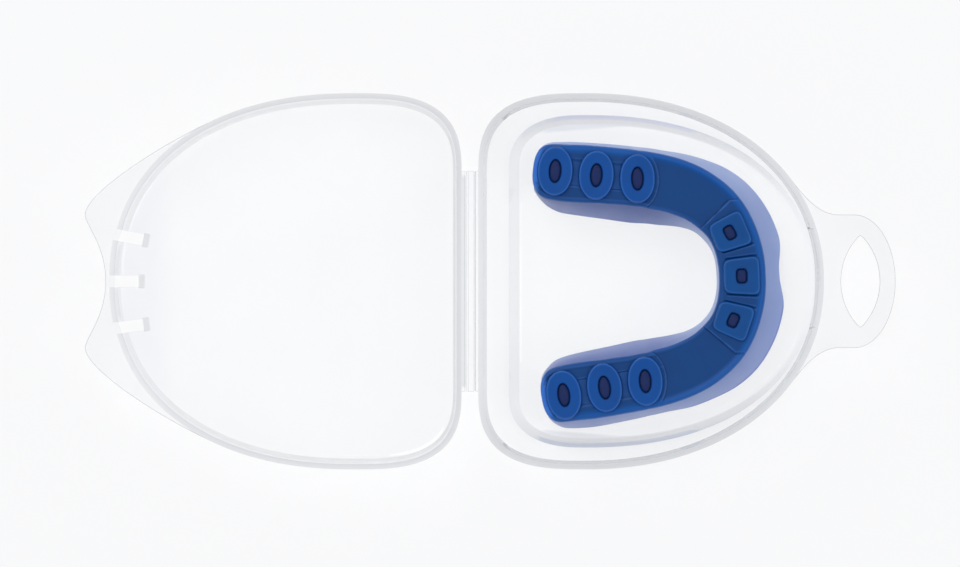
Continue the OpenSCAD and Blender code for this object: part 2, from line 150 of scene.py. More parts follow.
def outline_points(shape, grow):
    """The outline grown by a distance, as (x, y) pairs from the front's middle, anticlockwise."""
    rear, front, half, corner, curve, corner_curve = shape
    upper = []
    for step in range(FRONT_STEPS + 1):
        angle = math.radians(90 * step / FRONT_STEPS)
        x, y = quarter(front - WIDEST_X + grow, half + grow, curve, angle)
        upper.append((WIDEST_X + x, y))
    for step in range(1, CORNER_STEPS + 1):
        angle = math.radians(90 - 90 * step / CORNER_STEPS)
        x, y = quarter(WIDEST_X - rear + grow, corner + grow, corner_curve, angle)
        upper.append((WIDEST_X - x, half - corner + y))
    return upper + [(x, -y) for x, y in reversed(upper[1:])]


def front_x(shape, y, grow=0.0):
    """Where the outline's front lies at a sideways place."""
    front, half, curve = shape[1], shape[2], shape[4]
    share = 1 - (abs(y) / (half + grow)) ** curve
    return WIDEST_X + (front - WIDEST_X + grow) * max(0.0, share) ** (1 / curve)


# %% Outlines of the base
RIM_DRAFT = 0.5
RIM_REAR = REAR_X - 0.1
BASE = outline(RIM_REAR, FRONT_X, 0, BASE_CURVE)
LEDGE = outline(RIM_REAR + RIM_DRAFT, FRONT_X - RIM_DRAFT, RIM_DRAFT, BASE_CURVE, CORNER_REACH)
WELL = outline(REAR_X + 6.7, FRONT_X - 2.2, 4.8, WELL_CURVE, 12.3, WELL_CORNER_CURVE)
FLOOR = outline(REAR_X + 8.8, FRONT_X - 2.7, 6.7, WELL_CURVE, 9.8, WELL_CORNER_CURVE)
print("points in an outline:", len(outline_points(BASE, 0)))

# %% [markdown]
# ## Walls from rings
#
# A moulded shell is a section that runs round an outline. It could be a curve with a bevel object, but
# then its corners pinch. Here a ring of vertices starts as a circle, is put on the outline, and is
# extruded from one height and offset to the next. Each step of the section is one row of a list, so
# the list reads like the section's drawing. The sharp rows are rounded by one bevel at the end, because
# nothing that comes out of a mould has a sharp edge, and the highlights sit on those roundings.

# %% Rings


def start_ring(bm, points):
    """A circle of as many vertices as there are points, put on them."""
    ring = bmesh.ops.create_circle(bm, segments=len(points), radius=1)["verts"]
    for vertex, point in zip(ring, points):
        vertex.co = point
    return ring


def ring_edges(bm, ring):
    """The edges of a closed ring of vertices."""
    return [bm.edges.get((a, b)) for a, b in zip(ring, ring[1:] + ring[:1])]


def next_ring(bm, ring, points):
    """Extrudes a closed ring and puts the new vertices on the points."""
    made = bmesh.ops.extrude_edge_only(bm, edges=ring_edges(bm, ring))["geom"]
    new = {item for item in made if isinstance(item, bmesh.types.BMVert)}
    above = [next(e.other_vert(v) for e in v.link_edges if e.other_vert(v) in new) for v in ring]
    for vertex, point in zip(above, points):
        vertex.co = point
    return above


def loft(bm, rings):
    """A skin through rings of equally many points, with a face over each end."""
    first = start_ring(bm, rings[0])
    last = first
    for points in rings[1:]:
        last = next_ring(bm, last, points)
    bmesh.ops.contextual_create(bm, geom=ring_edges(bm, first))
    bmesh.ops.contextual_create(bm, geom=ring_edges(bm, last))
    bmesh.ops.recalc_face_normals(bm, faces=bm.faces[:])
    return bm


# %% Roundings and pieces


def round_edges(bm, radius, sharper_than=25, segments=3):
    """Bevels the edges whose faces meet at more than an angle."""
    limit = math.radians(sharper_than)
    sharp = [edge for edge in bm.edges if len(edge.link_faces) == 2 and edge.calc_face_angle(0) > limit]
    bmesh.ops.bevel(
        bm, geom=sharp, offset=radius, segments=segments, profile=0.5, affect="EDGES",
        material=-1, clamp_overlap=True,
    )


def finish_piece(bm, name, smooth_below=32):
    """Turns a mesh in millimetres into an object in metres, smooth apart from its sharp edges."""
    bmesh.ops.scale(bm, vec=(MM, MM, MM), verts=bm.verts[:])
    mesh = bpy.data.meshes.new(name)
    bm.to_mesh(mesh)
    bm.free()
    piece = bpy.data.objects.new(name, mesh)
    bpy.context.scene.collection.objects.link(piece)
    mesh.shade_smooth()
    mesh.set_sharp_from_angle(angle=math.radians(smooth_below))
    print(name, "has", len(mesh.polygons), "faces")
    return piece


# %% Joining, cutting and tidying
LOOKS_DOWN = -0.03
SAME_PLACE = 2e-6


def combine(body, other, operation):
    """Adds another solid to the body, or cuts it out, and removes the other one."""
    step = body.modifiers.new(operation, "BOOLEAN")
    step.operation, step.solver, step.object = operation, "EXACT", other
    graph = bpy.context.evaluated_depsgraph_get()
    mesh = bpy.data.meshes.new_from_object(body.evaluated_get(graph))
    body.modifiers.clear()
    body.data = mesh
    bpy.data.objects.remove(other)


def store_upward(piece):
    """Keeps for each face whether it looks up or sideways, and so is seen from above."""
    values = piece.data.attributes.new("looks_up", "FLOAT", "FACE")
    for face, value in zip(piece.data.polygons, values.data):
        value.value = 1.0 if face.normal.z > LOOKS_DOWN else 0.0


def settle_normals(piece, smooth_below=32):
    """Merges what a cut left double, and sets the smooth and the sharp edges again."""
    bm = bmesh.new()
    bm.from_mesh(piece.data)
    bmesh.ops.remove_doubles(bm, verts=bm.verts[:], dist=SAME_PLACE)
    bmesh.ops.dissolve_degenerate(bm, dist=SAME_PLACE, edges=bm.edges[:])
    bm.to_mesh(piece.data)
    open_edges = sum(1 for edge in bm.edges if not edge.is_manifold)
    bm.free()
    piece.data.shade_smooth()
    piece.data.set_sharp_from_angle(angle=math.radians(smooth_below))
    print(piece.name, "has", len(piece.data.polygons), "faces and", open_edges, "open edges")


# %% [markdown]
# ## Shader expressions
#
# A material is a graph of nodes, and a long graph is hard to read as code. The class `Value` wraps a
# socket that carries a number, and its operators add Math nodes, so `1 - mask * 0.5` means what it
# says. `Finish` owns the nodes of one material and has one method, `node`, for every other kind of
# node. Its other methods are short names for what is needed often.

# %% Values


class Value:
    """A number in a shader, with arithmetic."""

    def __init__(self, finish, socket):
        self.finish = finish
        self.socket = socket

    def math(self, operation, first, second, clamp=False):
        settings = {"operation": operation, "use_clamp": clamp}
        return self.finish.node("ShaderNodeMath", settings, {0: first, 1: second})

    def __add__(self, other):
        return self.math("ADD", self, other)

    def __radd__(self, other):
        return self.math("ADD", other, self)

    def __sub__(self, other):
        return self.math("SUBTRACT", self, other)

    def __rsub__(self, other):
        return self.math("SUBTRACT", other, self)

    def __mul__(self, other):
        return self.math("MULTIPLY", self, other)

    def __rmul__(self, other):
        return self.math("MULTIPLY", other, self)

    def clamped(self):
        return self.math("ADD", self, 0.0, clamp=True)


# %% Finishes


class Finish:
    """The nodes of one material, or of the world."""

    def __init__(self, owner, end="ShaderNodeOutputMaterial"):
        self.owner = owner
        owner.use_nodes = True
        self.tree = owner.node_tree
        self.tree.nodes.clear()
        self.end = self.tree.nodes.new(end)

    def feed(self, socket, value):
        if isinstance(value, Value):
            self.tree.links.new(value.socket, socket)
        else:
            socket.default_value = value

    def node(self, kind, settings=None, values=None, output=0):
        """Adds a node: its settings, then the values or links of its sockets. Gives one output."""
        made = self.tree.nodes.new(kind)
        for key, setting in (settings or {}).items():
            setattr(made, key, setting)
        for key, value in (values or {}).items():
            self.feed(made.inputs[key], value)
        return Value(self, made.outputs[output])

    def mix_colors(self, share, first, second, blend="MIX"):
        settings = {"data_type": "RGBA", "blend_type": blend}
        return self.node("ShaderNodeMix", settings, {0: share, 6: first, 7: second}, output=2)

    def tinted(self, base, *layers):
        """A colour multiplied by tints, each given with the share of it that counts."""
        for share, tint in layers:
            base = self.mix_colors(share, base, tint, "MULTIPLY")
        return base

    def noise(self, scale, detail=2.0, stretch=(1.0, 1.0, 1.0)):
        """Noise of so many waves a metre over the object's own coordinates."""
        place = self.node("ShaderNodeTexCoord", output="Object")
        turned = self.node("ShaderNodeMapping", {}, {"Vector": place, "Scale": stretch})
        return self.node("ShaderNodeTexNoise", {}, {"Vector": turned, "Scale": scale, "Detail": detail})

    def bump(self, strength, distance, height):
        values = {"Strength": strength, "Distance": distance, "Height": height}
        return self.node("ShaderNodeBump", {}, values)

    def stored(self, name):
        """A number that the mesh carries."""
        return self.node("ShaderNodeAttribute", {"attribute_name": name}, output="Fac")

    def parts(self, coordinate):
        """The X, Y and Z of one of the texture coordinates."""
        vector = self.node("ShaderNodeTexCoord", output=coordinate)
        split = self.node("ShaderNodeSeparateXYZ", {}, {0: vector})
        return [Value(self, part) for part in split.socket.node.outputs]

    def absolute(self, value):
        return self.node("ShaderNodeMath", {"operation": "ABSOLUTE"}, {0: value})

    def larger(self, first, second):
        return self.node("ShaderNodeMath", {"operation": "MAXIMUM"}, {0: first, 1: second})

    def ramp(self, value, low, high):
        """0 at low, 1 at high, and an S between them."""
        places = {"Value": value, "From Min": low, "From Max": high}
        return self.node("ShaderNodeMapRange", {"interpolation_type": "SMOOTHSTEP"}, places)

    def past(self, place, low, high):
        """0 before one place in millimetres, 1 past the other."""
        return self.ramp(place, low * MM, high * MM)

    def band(self, place, low, high, soft):
        """1 between two places in millimetres, with soft edges inside them."""
        return self.past(place, low, low + soft) * self.past(place, high, high - soft)

    def surface(self, shader):
        self.tree.links.new(shader.socket, self.end.inputs["Surface"])
        return self.owner


# %% New finishes and colours


def new_finish(name):
    return Finish(bpy.data.materials.new(name))


def color(red, green, blue):
    """A colour given in the usual 0 to 255 steps, as the linear values that shaders take."""
    steps = [value / 255 for value in (red, green, blue)]
    return (*[s / 12.92 if s <= 0.04045 else ((s + 0.055) / 1.055) ** 2.4 for s in steps], 1.0)


# %% [markdown]
# ## Clear plastic
#
# The case is clear polypropylene, about a millimetre thick and very slightly milky. Over a white table
# its sheets nearly vanish and its walls draw themselves in soft grey, because a ray that meets a wall
# steeply stays in it for a long way. Alpha transparency would be quicker to render, but it has no
# thickness. Real refraction at an index of 1.5 gives hard black lines, which this soft plastic fills
# with the light that it scatters. So the Principled shader's transmission is used with an index close
# to that of air, and a coat gives the gloss.
#
# A ray that is inside a wall could be thrown back from its other face again and again, which gives
# marbled rims. So a ray leaves the plastic straight: seen from inside, every face is a transparent one.
# It is also transparent to shadows, which stay pale.
#
# The grey has two sources: an absorption in the volume, and a tint on each face. The tint is painted
# shade in place of the grey that a real wall gets by refracting and reflecting the darker room, and
# it goes by place: steep faces by the way they look, the rim by how near the hinge or the sides it
# is, the ribs' tops, the plates' edges and the bead's ends, and the flat sheet by where it bends or
# ends. The well's upper edge also takes a painted soft blue reflection of the mouthguard on both
# sides. Only faces that look upwards into the tray are tinted, because each wall has a second face
# below it.
#
# The flat sheets carry slow ripples as bump, and a thickness that drifts a little, because a moulded
# sheet is never even. The rims and walls are smooth.

# %% Tints and their places
PLATE_LOW = low_mm("hang_tab").z
RIB_TOP = WALL + 5.0
BEAD_Z = LIP_Z - 0.45
# Painted blue reflections of the mouthguard for the well's edge, painted shade for the well floor's
# edge, the latch's end and the hinge's bent lines, and the well floor's own nearly clear tint.
FAR_REFLECTION = (0.82, 0.82, 1.0, 1.0)
NEAR_REFLECTION = (0.69, 0.74, 0.88, 1.0)
WELL_FLOOR = (0.999, 0.999, 0.999, 1.0)
FLOOR_EDGE_SHADE = (0.74, 0.76, 0.81, 1.0)
LATCH_END_SHADE = (0.93, 0.93, 0.96, 1.0)
BENT_LINE_SHADE = (0.72, 0.73, 0.75, 1.0)

# Each place is a range in millimetres and the width of its soft edges.
WELL_SIDES = (33, 37.4, 0.2)
FAR_REFLECTION_SPAN = (-25.0, 13.0, 6.0)
NEAR_REFLECTION_SPAN = (-26.0, 12.0, 2.0)
FLOOR_EDGE_SHADE_SPAN = (-25.5, -2.0, 3.0)
LEAF_FOOT = (HINGE_X - 1.95, HINGE_X - 0.9, 0.15)
BASE_FLEX = (HINGE_X + 0.84, HINGE_X + 1.3, 0.1)
LID_FLEX = (HINGE_X - 0.56, HINGE_X - 0.3, 0.1)
BEAD_HEIGHTS = (BEAD_Z - 0.4, BEAD_Z + 0.4, 0.05)
RIB_HEIGHTS = (RIB_TOP - 0.3, RIB_TOP + 0.3, 0.2)
FAR_BEAD_END_SHADE = (11.5, 12.1, 0.15)
NEAR_BEAD_END_SHADE = (-10.7, -10.1, 0.15)


def grey(level, blue=0.02):
    """A nearly neutral tint, a little stronger in blue."""
    return level, level + 0.25 * blue, level + blue, 1.0


# %% Painted shade of the walls, the sheets and the rim


def wall_shade(finish, tints, facing, place, to_hinge, rim_share):
    """The painted shade of a steep face, with a painted blue reflection at the well's upper edge."""
    along, across, height = place
    # Painted shade by the way the face looks: towards the hinge, the front or a side.
    at_hinge = finish.ramp(facing[0] * to_hinge, 0.2, -0.2)
    ends = finish.mix_colors(at_hinge, tints["front"], tints["hinge"])
    wall = finish.mix_colors(facing[1] * facing[1], ends, tints["sides"])
    above_ledge = finish.past(height, LEDGE_Z, LEDGE_Z + 0.2)
    wall = finish.mix_colors(above_ledge * rim_share, wall, tints["rim wall"])
    # A painted blue reflection of the mouthguard on the well's upper edge, on both sides.
    well_edge = finish.past(height, LEDGE_Z - 2.9, LEDGE_Z - 1.9)
    well_edge = well_edge * finish.band(finish.absolute(across), *WELL_SIDES)
    far_edge = well_edge * finish.band(along, *FAR_REFLECTION_SPAN) * finish.past(across, 0, 1)
    near_edge = well_edge * finish.band(along, *NEAR_REFLECTION_SPAN) * finish.past(across, 0, -1)
    wall = finish.tinted(wall, (far_edge, FAR_REFLECTION), (near_edge, NEAR_REFLECTION))
    # Steep faces from the plates' underside up, such as the plates' rounded edges, take a painted dark
    # line.
    at_plates = finish.past(height, PLATE_LOW - 0.5, PLATE_LOW)
    return finish.mix_colors(at_plates, wall, tints["edges"])


def sheet_tint_and_shade(finish, tints, place):
    """The tint of the flat sheets, which drifts with their thickness, with painted shade where they
    bend or end.
    """
    along, across, height = place
    beside = finish.absolute(across)
    drift = (finish.noise(34.0, detail=1.0) * 1.8 - 0.4).clamped()
    sheet = finish.mix_colors(drift, tints["sheet"], tints["thicker sheet"])
    in_well = finish.past(height, LEDGE_Z - 2, LEDGE_Z - 4) * finish.past(along, -33, -31)
    # Painted shade on the well floor along its sides.
    floor_edge_shade = finish.past(beside - along * 0.0825, 34.7, 35.5)
    floor_edge_shade = floor_edge_shade * finish.band(along, *FLOOR_EDGE_SHADE_SPAN)
    # Painted shade on the sheet towards the latch's end.
    at_latch = finish.past(along, -104, -113) * finish.past(height, 6, 5)
    # Painted shade along the hinge leaf's foot and the two flex lines.
    leaf = finish.band(along, *LEAF_FOOT) * finish.past(beside, 24, 23)
    flex = finish.band(along, *BASE_FLEX) + finish.band(along, *LID_FLEX)
    return finish.tinted(
        finish.mix_colors(in_well * 0.8, sheet, WELL_FLOOR),
        (floor_edge_shade * in_well, FLOOR_EDGE_SHADE),
        (at_latch, LATCH_END_SHADE),
        ((leaf + flex).clamped(), BENT_LINE_SHADE),
    )


def rim_shade(finish, tints, place):
    """The painted shade of the rim's upper face, by how near the hinge or the sides it is."""
    along, across = place[:2]
    at_hinge = finish.past(finish.absolute(along - HINGE_X * MM), 30, 10)
    rim = finish.mix_colors(at_hinge, tints["rim"], tints["hinge rim"])
    at_sides = finish.past(finish.absolute(across), 22, 39)
    return finish.mix_colors(at_sides, rim, tints["side rim"])


# %% Clear plastic
CLEAR_INDEX = 1.04
CLEAR_COAT = 0.6
DEPTH_DENSITY = 30.0
CLEAR_FACE = (0.99, 0.99, 0.99, 1.0)


def clear_plastic(name, tints, to_hinge, rim_share):
    """Clear plastic tinted by place.

    to_hinge is -1 for the half whose hinge lies at its -X side and 1 for the other one, and rim_share
    is how much the walls above the ledge's height take the tint of a rim wall.
    """
    finish = new_finish(name)
    facing = finish.parts("Normal")
    place = finish.parts("Object")
    along, across, height = place
    steep = finish.ramp(finish.absolute(facing[2]), 0.97, 0.45)
    on_rim = finish.past(height, RIM_Z - 0.012, RIM_Z - 0.004)
    on_rim = on_rim * (1 - finish.band(height, *BEAD_HEIGHTS))
    # The ribs' tops take painted shade.
    on_rib = finish.band(height, *RIB_HEIGHTS)
    # A painted dark mark at each end of the latch bead.
    bead_end_shade = finish.band(across, *FAR_BEAD_END_SHADE) + finish.band(across, *NEAR_BEAD_END_SHADE) * 0.6
    bead_end_shade = bead_end_shade * finish.past(along, 30, 31) * finish.past(height, RIM_Z, RIM_Z + 0.1)
    flat = finish.mix_colors(on_rim, sheet_tint_and_shade(finish, tints, place), rim_shade(finish, tints, place))
    flat = finish.mix_colors(on_rib, flat, tints["rib"])
    wall = wall_shade(finish, tints, facing, place, to_hinge, rim_share)
    tint = finish.mix_colors(steep, flat, wall)
    tint = finish.mix_colors(bead_end_shade, tint, grey(0.28))
    tint = finish.mix_colors(finish.stored("looks_up"), CLEAR_FACE, tint)
    ripple = finish.noise(26.0, stretch=(1.0, 1.6, 1.0))
    plastic = finish.node("ShaderNodeBsdfPrincipled", {}, {
        "Base Color": tint,
        "Roughness": finish.noise(70.0, detail=3.0) * 0.06 + 0.05,
        "IOR": CLEAR_INDEX,
        "Transmission Weight": 1.0,
        "Coat Weight": CLEAR_COAT,
        "Coat Roughness": 0.04,
        "Normal": finish.bump(0.2 * (1 - steep) * (1 - on_rim), 0.0006, ripple),
    })
    clear = finish.node("ShaderNodeBsdfTransparent", {}, {"Color": (0.98, 0.982, 0.985, 1.0)})
    shadow = finish.node("ShaderNodeLightPath", output="Is Shadow Ray")
    from_inside = finish.node("ShaderNodeNewGeometry", output="Backfacing")
    straight = finish.larger(shadow, from_inside)
    both = finish.node("ShaderNodeMixShader", {}, {0: straight, 1: plastic, 2: clear})
    absorbed = {"Color": (0.62, 0.64, 0.70, 1.0), "Density": DEPTH_DENSITY}
    depth = finish.node("ShaderNodeVolumeAbsorption", {}, absorbed)
    finish.tree.links.new(depth.socket, finish.end.inputs["Volume"])
    return finish.surface(both)


# %% The clear case materials
# The greys of each half: the sheet's drift with its thickness, and painted shade on all the rest: the
# walls by the way they look, the rim by place, the plates' edges and the ribs' tops.
both_halves = {
    "sheet": grey(0.99, 0.004), "thicker sheet": grey(0.95, 0.01),
    "edges": grey(0.22), "rib": grey(0.72), "rim wall": grey(0.93),
}
base_tints = both_halves | {
    "sides": grey(0.47, 0.05), "hinge": grey(0.83), "front": grey(0.97),
    "rim": grey(0.71), "side rim": grey(0.61), "hinge rim": grey(0.77),
}
lid_tints = both_halves | {
    "sides": grey(0.68), "hinge": grey(0.58), "front": grey(0.79),
    "rim": grey(0.81), "side rim": grey(0.71), "hinge rim": grey(0.69),
}
base_plastic = clear_plastic("clear_polypropylene_base", base_tints, -1.0, 1.0)
lid_plastic = clear_plastic("clear_polypropylene_lid", lid_tints, 1.0, 0.0)
print("materials", base_plastic.name, lid_plastic.name)

# %% [markdown]
# ## The base of the case
#
# The base is a tray in two levels: a well that holds the mouthguard, a ledge round it, and a rim wall
# with an upright band. Inside the rim stands a thin lip, which the closed lid fits over. From above the
# rim and the lip together make the grey band along the edge. All of it is one skin here, because in the
# real moulding there is nothing between a floor and its wall that light could bounce off.

# %% Section of the base
MOULD_R = 0.22
RIM_T = 1.1
LIP_OUT = 1.35
LIP_T = 0.55
EDGE_R = 0.8
LIP_END_X = REAR_X + 6.2
LIP_END_L = 1.6


def at_height(shape, grow, z):
    """One ring of the outline at a height."""
    return [(x, y, z) for x, y in outline_points(shape, grow)]


base_section = [
    at_height(FLOOR, -EDGE_R, 0),
    at_height(FLOOR, -0.25 * EDGE_R, 0.25 * EDGE_R),
    at_height(FLOOR, 0.25 * EDGE_R, EDGE_R),
    at_height(WELL, WALL, LEDGE_Z - 1.5 * WALL),
    at_height(WELL, WALL + 0.3, LEDGE_Z - WALL),
    at_height(LEDGE, 0, LEDGE_Z - WALL),
    at_height(BASE, 0, BAND_Z),
    at_height(BASE, 0, RIM_Z),
    at_height(BASE, -LIP_OUT, RIM_Z),
    at_height(BASE, -LIP_OUT, LIP_Z),
    at_height(BASE, -LIP_OUT - LIP_T, LIP_Z),
    at_height(BASE, -LIP_OUT - LIP_T, BAND_Z + 0.2),
    at_height(BASE, -RIM_T, BAND_Z - 0.6),
    at_height(LEDGE, -RIM_T, LEDGE_Z),
    at_height(WELL, 0, LEDGE_Z),
    at_height(FLOOR, 0.2, WALL + 1.1 * EDGE_R),
    at_height(FLOOR, -0.3 * EDGE_R, WALL + 0.4 * EDGE_R),
    at_height(FLOOR, -1.4 * EDGE_R, WALL),
]


def lower_lip_at_hinge(bm):
    """The lip runs out beside the hinge: there it sinks to the rim's height."""
    for vertex in bm.verts:
        if vertex.co.z > RIM_Z:
            share = min(1.0, max(0.0, (vertex.co.x - LIP_END_X) / LIP_END_L + 0.5))
            vertex.co.z = RIM_Z + (vertex.co.z - RIM_Z) * share * share * (3 - 2 * share)
    bmesh.ops.remove_doubles(bm, verts=bm.verts[:], dist=1e-3)


shell = loft(bmesh.new(), base_section)
round_edges(shell, MOULD_R)
lower_lip_at_hinge(shell)
case_base = finish_piece(shell, "case_base")

# %% [markdown]
# ## Plates on the rims
#
# Two thin plates stand out from the rims: the hang tab, with a hole for a peg or a strap, and the lid's
# ear flange, which a thumb lifts. Each is a flat shape with curved sides. A cubic Bezier curve needs
# only four points for an S and leaves the rim along its tangent. The plate's inner edge runs inside
# the rim's wall, so that the two become one solid when they are joined.

# %% Curves of the plates
CURVE_STEPS = 20


def bezier(a, b, c, d):
    """A cubic Bezier curve's points without the last one."""
    points = []
    for step in range(CURVE_STEPS):
        t = step / CURVE_STEPS
        s = 1 - t
        points.append(a * s**3 + b * (3 * s * s * t) + c * (3 * s * t * t) + d * t**3)
    return points


def rim_point(shape, y, grow=0.0):
    return Vector((front_x(shape, y, grow), y))


def rim_tangent(shape, y):
    """The direction along the rim towards the front's middle."""
    return (rim_point(shape, y - 0.05) - rim_point(shape, y + 0.05)).normalized()


def plate_loop(half, shape, root_y, inside):
    """Half a plate's edge, its mirror image, and the way back inside the rim's wall, anticlockwise."""
    sideways = [root_y * (2 * step / CURVE_STEPS - 1) for step in range(CURVE_STEPS + 1)]
    back = [rim_point(shape, y, -inside) for y in sideways]
    return list(reversed(half + [Vector((p.x, -p.y)) for p in reversed(half[:-1])] + back))


def shrunk(loop, distance):
    """An anticlockwise loop of points moved in by a distance, or out by a negative one."""
    moved = []
    for before, point, after in zip(loop[-1:] + loop[:-1], loop, loop[1:] + loop[:1]):
        along = ((point - before).normalized() + (after - point).normalized()).normalized()
        moved.append(point + distance * Vector((-along.y, along.x)))
    return moved


# %% Plates with rounded edges
PLATE_TOP = RIM_Z - 0.04
PLATE_EDGE_R = 0.3
PLATE_EDGE_STEPS = 4


def plate_side(bm, loop, way):
    """The rounded side of a plate round one loop, and its lowest and highest ring."""
    turns = [math.radians(90 * step / PLATE_EDGE_STEPS) for step in range(PLATE_EDGE_STEPS + 1)]
    quarter_round = [(1 - math.sin(turn), 1 - math.cos(turn)) for turn in turns]
    profile = [(inset, PLATE_LOW + PLATE_EDGE_R * rise) for inset, rise in quarter_round]
    profile += [(inset, PLATE_TOP - PLATE_EDGE_R * rise) for inset, rise in reversed(quarter_round)]
    first = last = None
    for inset, z in profile:
        points = [(p.x, p.y, z) for p in shrunk(loop, way * PLATE_EDGE_R * inset)]
        last = next_ring(bm, last, points) if last else start_ring(bm, points)
        first = first or last
    return ring_edges(bm, first), ring_edges(bm, last)


def plate(name, loop, hole=None):
    """A flat plate between two heights with rounded edges, and with a hole if one is given."""
    bm = bmesh.new()
    lower, upper = plate_side(bm, loop, 1)
    if hole:
        hole_lower, hole_upper = plate_side(bm, hole, -1)
        lower, upper = lower + hole_lower, upper + hole_upper
    for edges in (lower, upper):
        bmesh.ops.triangle_fill(bm, use_beauty=True, use_dissolve=False, edges=edges)
    bmesh.ops.recalc_face_normals(bm, faces=bm.faces[:])
    return finish_piece(bm, name)


# %% The hang tab
TAB_ROOT = 22.5
TAB_HALF = 14.8
TAB_ROUND = 9.1
ROUND_HANDLE = 0.5523
HOLE_L = 20.7
HOLE_W = 8.6
HOLE_EDGE = 3.5
HOLE_TIP_R = 0.7
ARC_STEPS = 28

tip_x = high_mm("hang_tab").x
root = rim_point(BASE, TAB_ROOT)
straight = Vector(((FRONT_X + tip_x - TAB_ROUND) / 2, TAB_HALF))
round_start = Vector((tip_x - TAB_ROUND, TAB_HALF))
leaves_rim = root + 0.3 * TAB_ROOT * rim_tangent(BASE, TAB_ROOT)
tab_half = (
    bezier(root, leaves_rim, Vector((FRONT_X, TAB_HALF)), straight)
    + bezier(round_start, round_start + Vector((ROUND_HANDLE * TAB_ROUND, 0)),
             Vector((tip_x, ROUND_HANDLE * TAB_HALF)), Vector((tip_x, 0)))
    + [Vector((tip_x, 0))]
)


def lens(middle_x, length, width, tip_radius):
    """Two arcs that meet in slightly rounded tips."""
    half_l, half_w = length / 2, width / 2
    radius = (half_l**2 + half_w**2) / (2 * half_w)
    swing = math.asin((half_l - tip_radius) / radius)
    outer = []
    for step in range(ARC_STEPS + 1):
        angle = swing * (2 * step / ARC_STEPS - 1)
        x = middle_x + radius * math.cos(angle) - radius + half_w
        outer.append(Vector((x, radius * math.sin(angle))))
    inner = [Vector((2 * middle_x - p.x, -p.y)) for p in outer]
    tip = Vector((middle_x, half_l - 0.25 * tip_radius))
    return outer + [tip] + inner + [Vector((middle_x, -tip.y))]


hang_hole = lens(tip_x - HOLE_EDGE - HOLE_W / 2, HOLE_L, HOLE_W, HOLE_TIP_R)
hang_tab = plate("hang_tab_solid", plate_loop(tab_half, BASE, TAB_ROOT, 0.7), hang_hole)
combine(case_base, hang_tab, "UNION")

# %% [markdown]
# ## The latch bead and the hinge leaf
#
# A low bead along the front of the lip snaps behind two catches in the lid. It is a small four-sided
# section swept along the lip, which is again a loft, only along the front instead of up a wall. The
# hinge leaf is the strip of plastic between the rim and the first flex line.

# %% Bead and leaf
BEAD_HALF = 11.0
BEAD_SHIFT = 0.7
BEAD_REACH = 0.6
BEAD_STEPS = 16
BEAD_H = 0.3
BEAD_RIDGE = 0.06
GROOVE = 0.15
LEAF_OVERLAP = 0.45


def bead(name, shape, wall, reach, z, y_from, y_to):
    """A bead of nearly triangular section on a wall, from one sideways place to another."""
    inside = wall - math.copysign(BEAD_H, reach)
    section = [
        (inside, BEAD_H), (inside, -BEAD_H), (wall, -BEAD_H),
        (wall + reach, -BEAD_RIDGE), (wall + reach, BEAD_RIDGE), (wall, BEAD_H),
    ]
    rings = []
    for step in range(BEAD_STEPS + 1):
        y = y_from + (y_to - y_from) * step / BEAD_STEPS
        rings.append([(front_x(shape, y, grow), y, z + rise) for grow, rise in section])
    return finish_piece(loft(bmesh.new(), rings), name)


def block(name, low, high, radius=0.15):
    """A block between two corners with rounded edges."""
    bm = bmesh.new()
    bmesh.ops.create_cube(bm, size=1)
    bmesh.ops.scale(bm, vec=Vector(high) - Vector(low), verts=bm.verts[:])
    bmesh.ops.translate(bm, vec=(Vector(low) + Vector(high)) / 2, verts=bm.verts[:])
    round_edges(bm, radius)
    return finish_piece(bm, name)


def add_leaf(body):
    """Joins a hinge leaf to a half of the case, from its rim to the flex line."""
    flex_side = (leaf_low.x + GROOVE, leaf_low.y, leaf_low.z)
    rim_side = (REAR_X + LEAF_OVERLAP, leaf_high.y, leaf_high.z)
    combine(body, block("leaf_solid", flex_side, rim_side), "UNION")


bead_at = (BEAD_SHIFT - BEAD_HALF, BEAD_SHIFT + BEAD_HALF)
latch_bead = bead("latch_bead_solid", BASE, -LIP_OUT, BEAD_REACH, BEAD_Z, *bead_at)
combine(case_base, latch_bead, "UNION")
add_leaf(case_base)
settle_normals(case_base)
store_upward(case_base)
case_base.data.materials.append(base_plastic)
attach(case_base, "base")
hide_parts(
    "base_well", "base_ledge", "base_rim", "base_lip", "latch_bead", "hang_tab",
    "base_hinge_leaf",
)

# %% [markdown]
# ## The lid
#
# The lid is a shallow dish that is a little longer than the base, so that its rim passes over the lip.
# Between its two outer slots the front wall stands a touch further out, where the catches snap over
# the bead. It is made as the base was, over the base's own place, and then turned over the hinge with
# one mirror, because both halves are cut from the same outline.

# %% Section of the lid
LID_FRONT = 2 * HINGE_X - low_mm("lid_skirt").x
PANEL_SIDE = 0.9
SLOT_PITCH = 10.4
BULGE = 0.3
LID = outline(REAR_X, LID_FRONT, 0, LID_CURVE)
PANEL = outline(REAR_X + 0.5, LID_FRONT - 0.9, PANEL_SIDE, LID_CURVE)


def lid_ring(shape, grow, z):
    """A ring of the lid, with the latch's part of the front standing out."""
    points = []
    for x, y in outline_points(shape, grow):
        at_latch = x > 0 and abs(y) < SLOT_PITCH
        points.append((x + (BULGE if at_latch else 0.0), y, z))
    return points


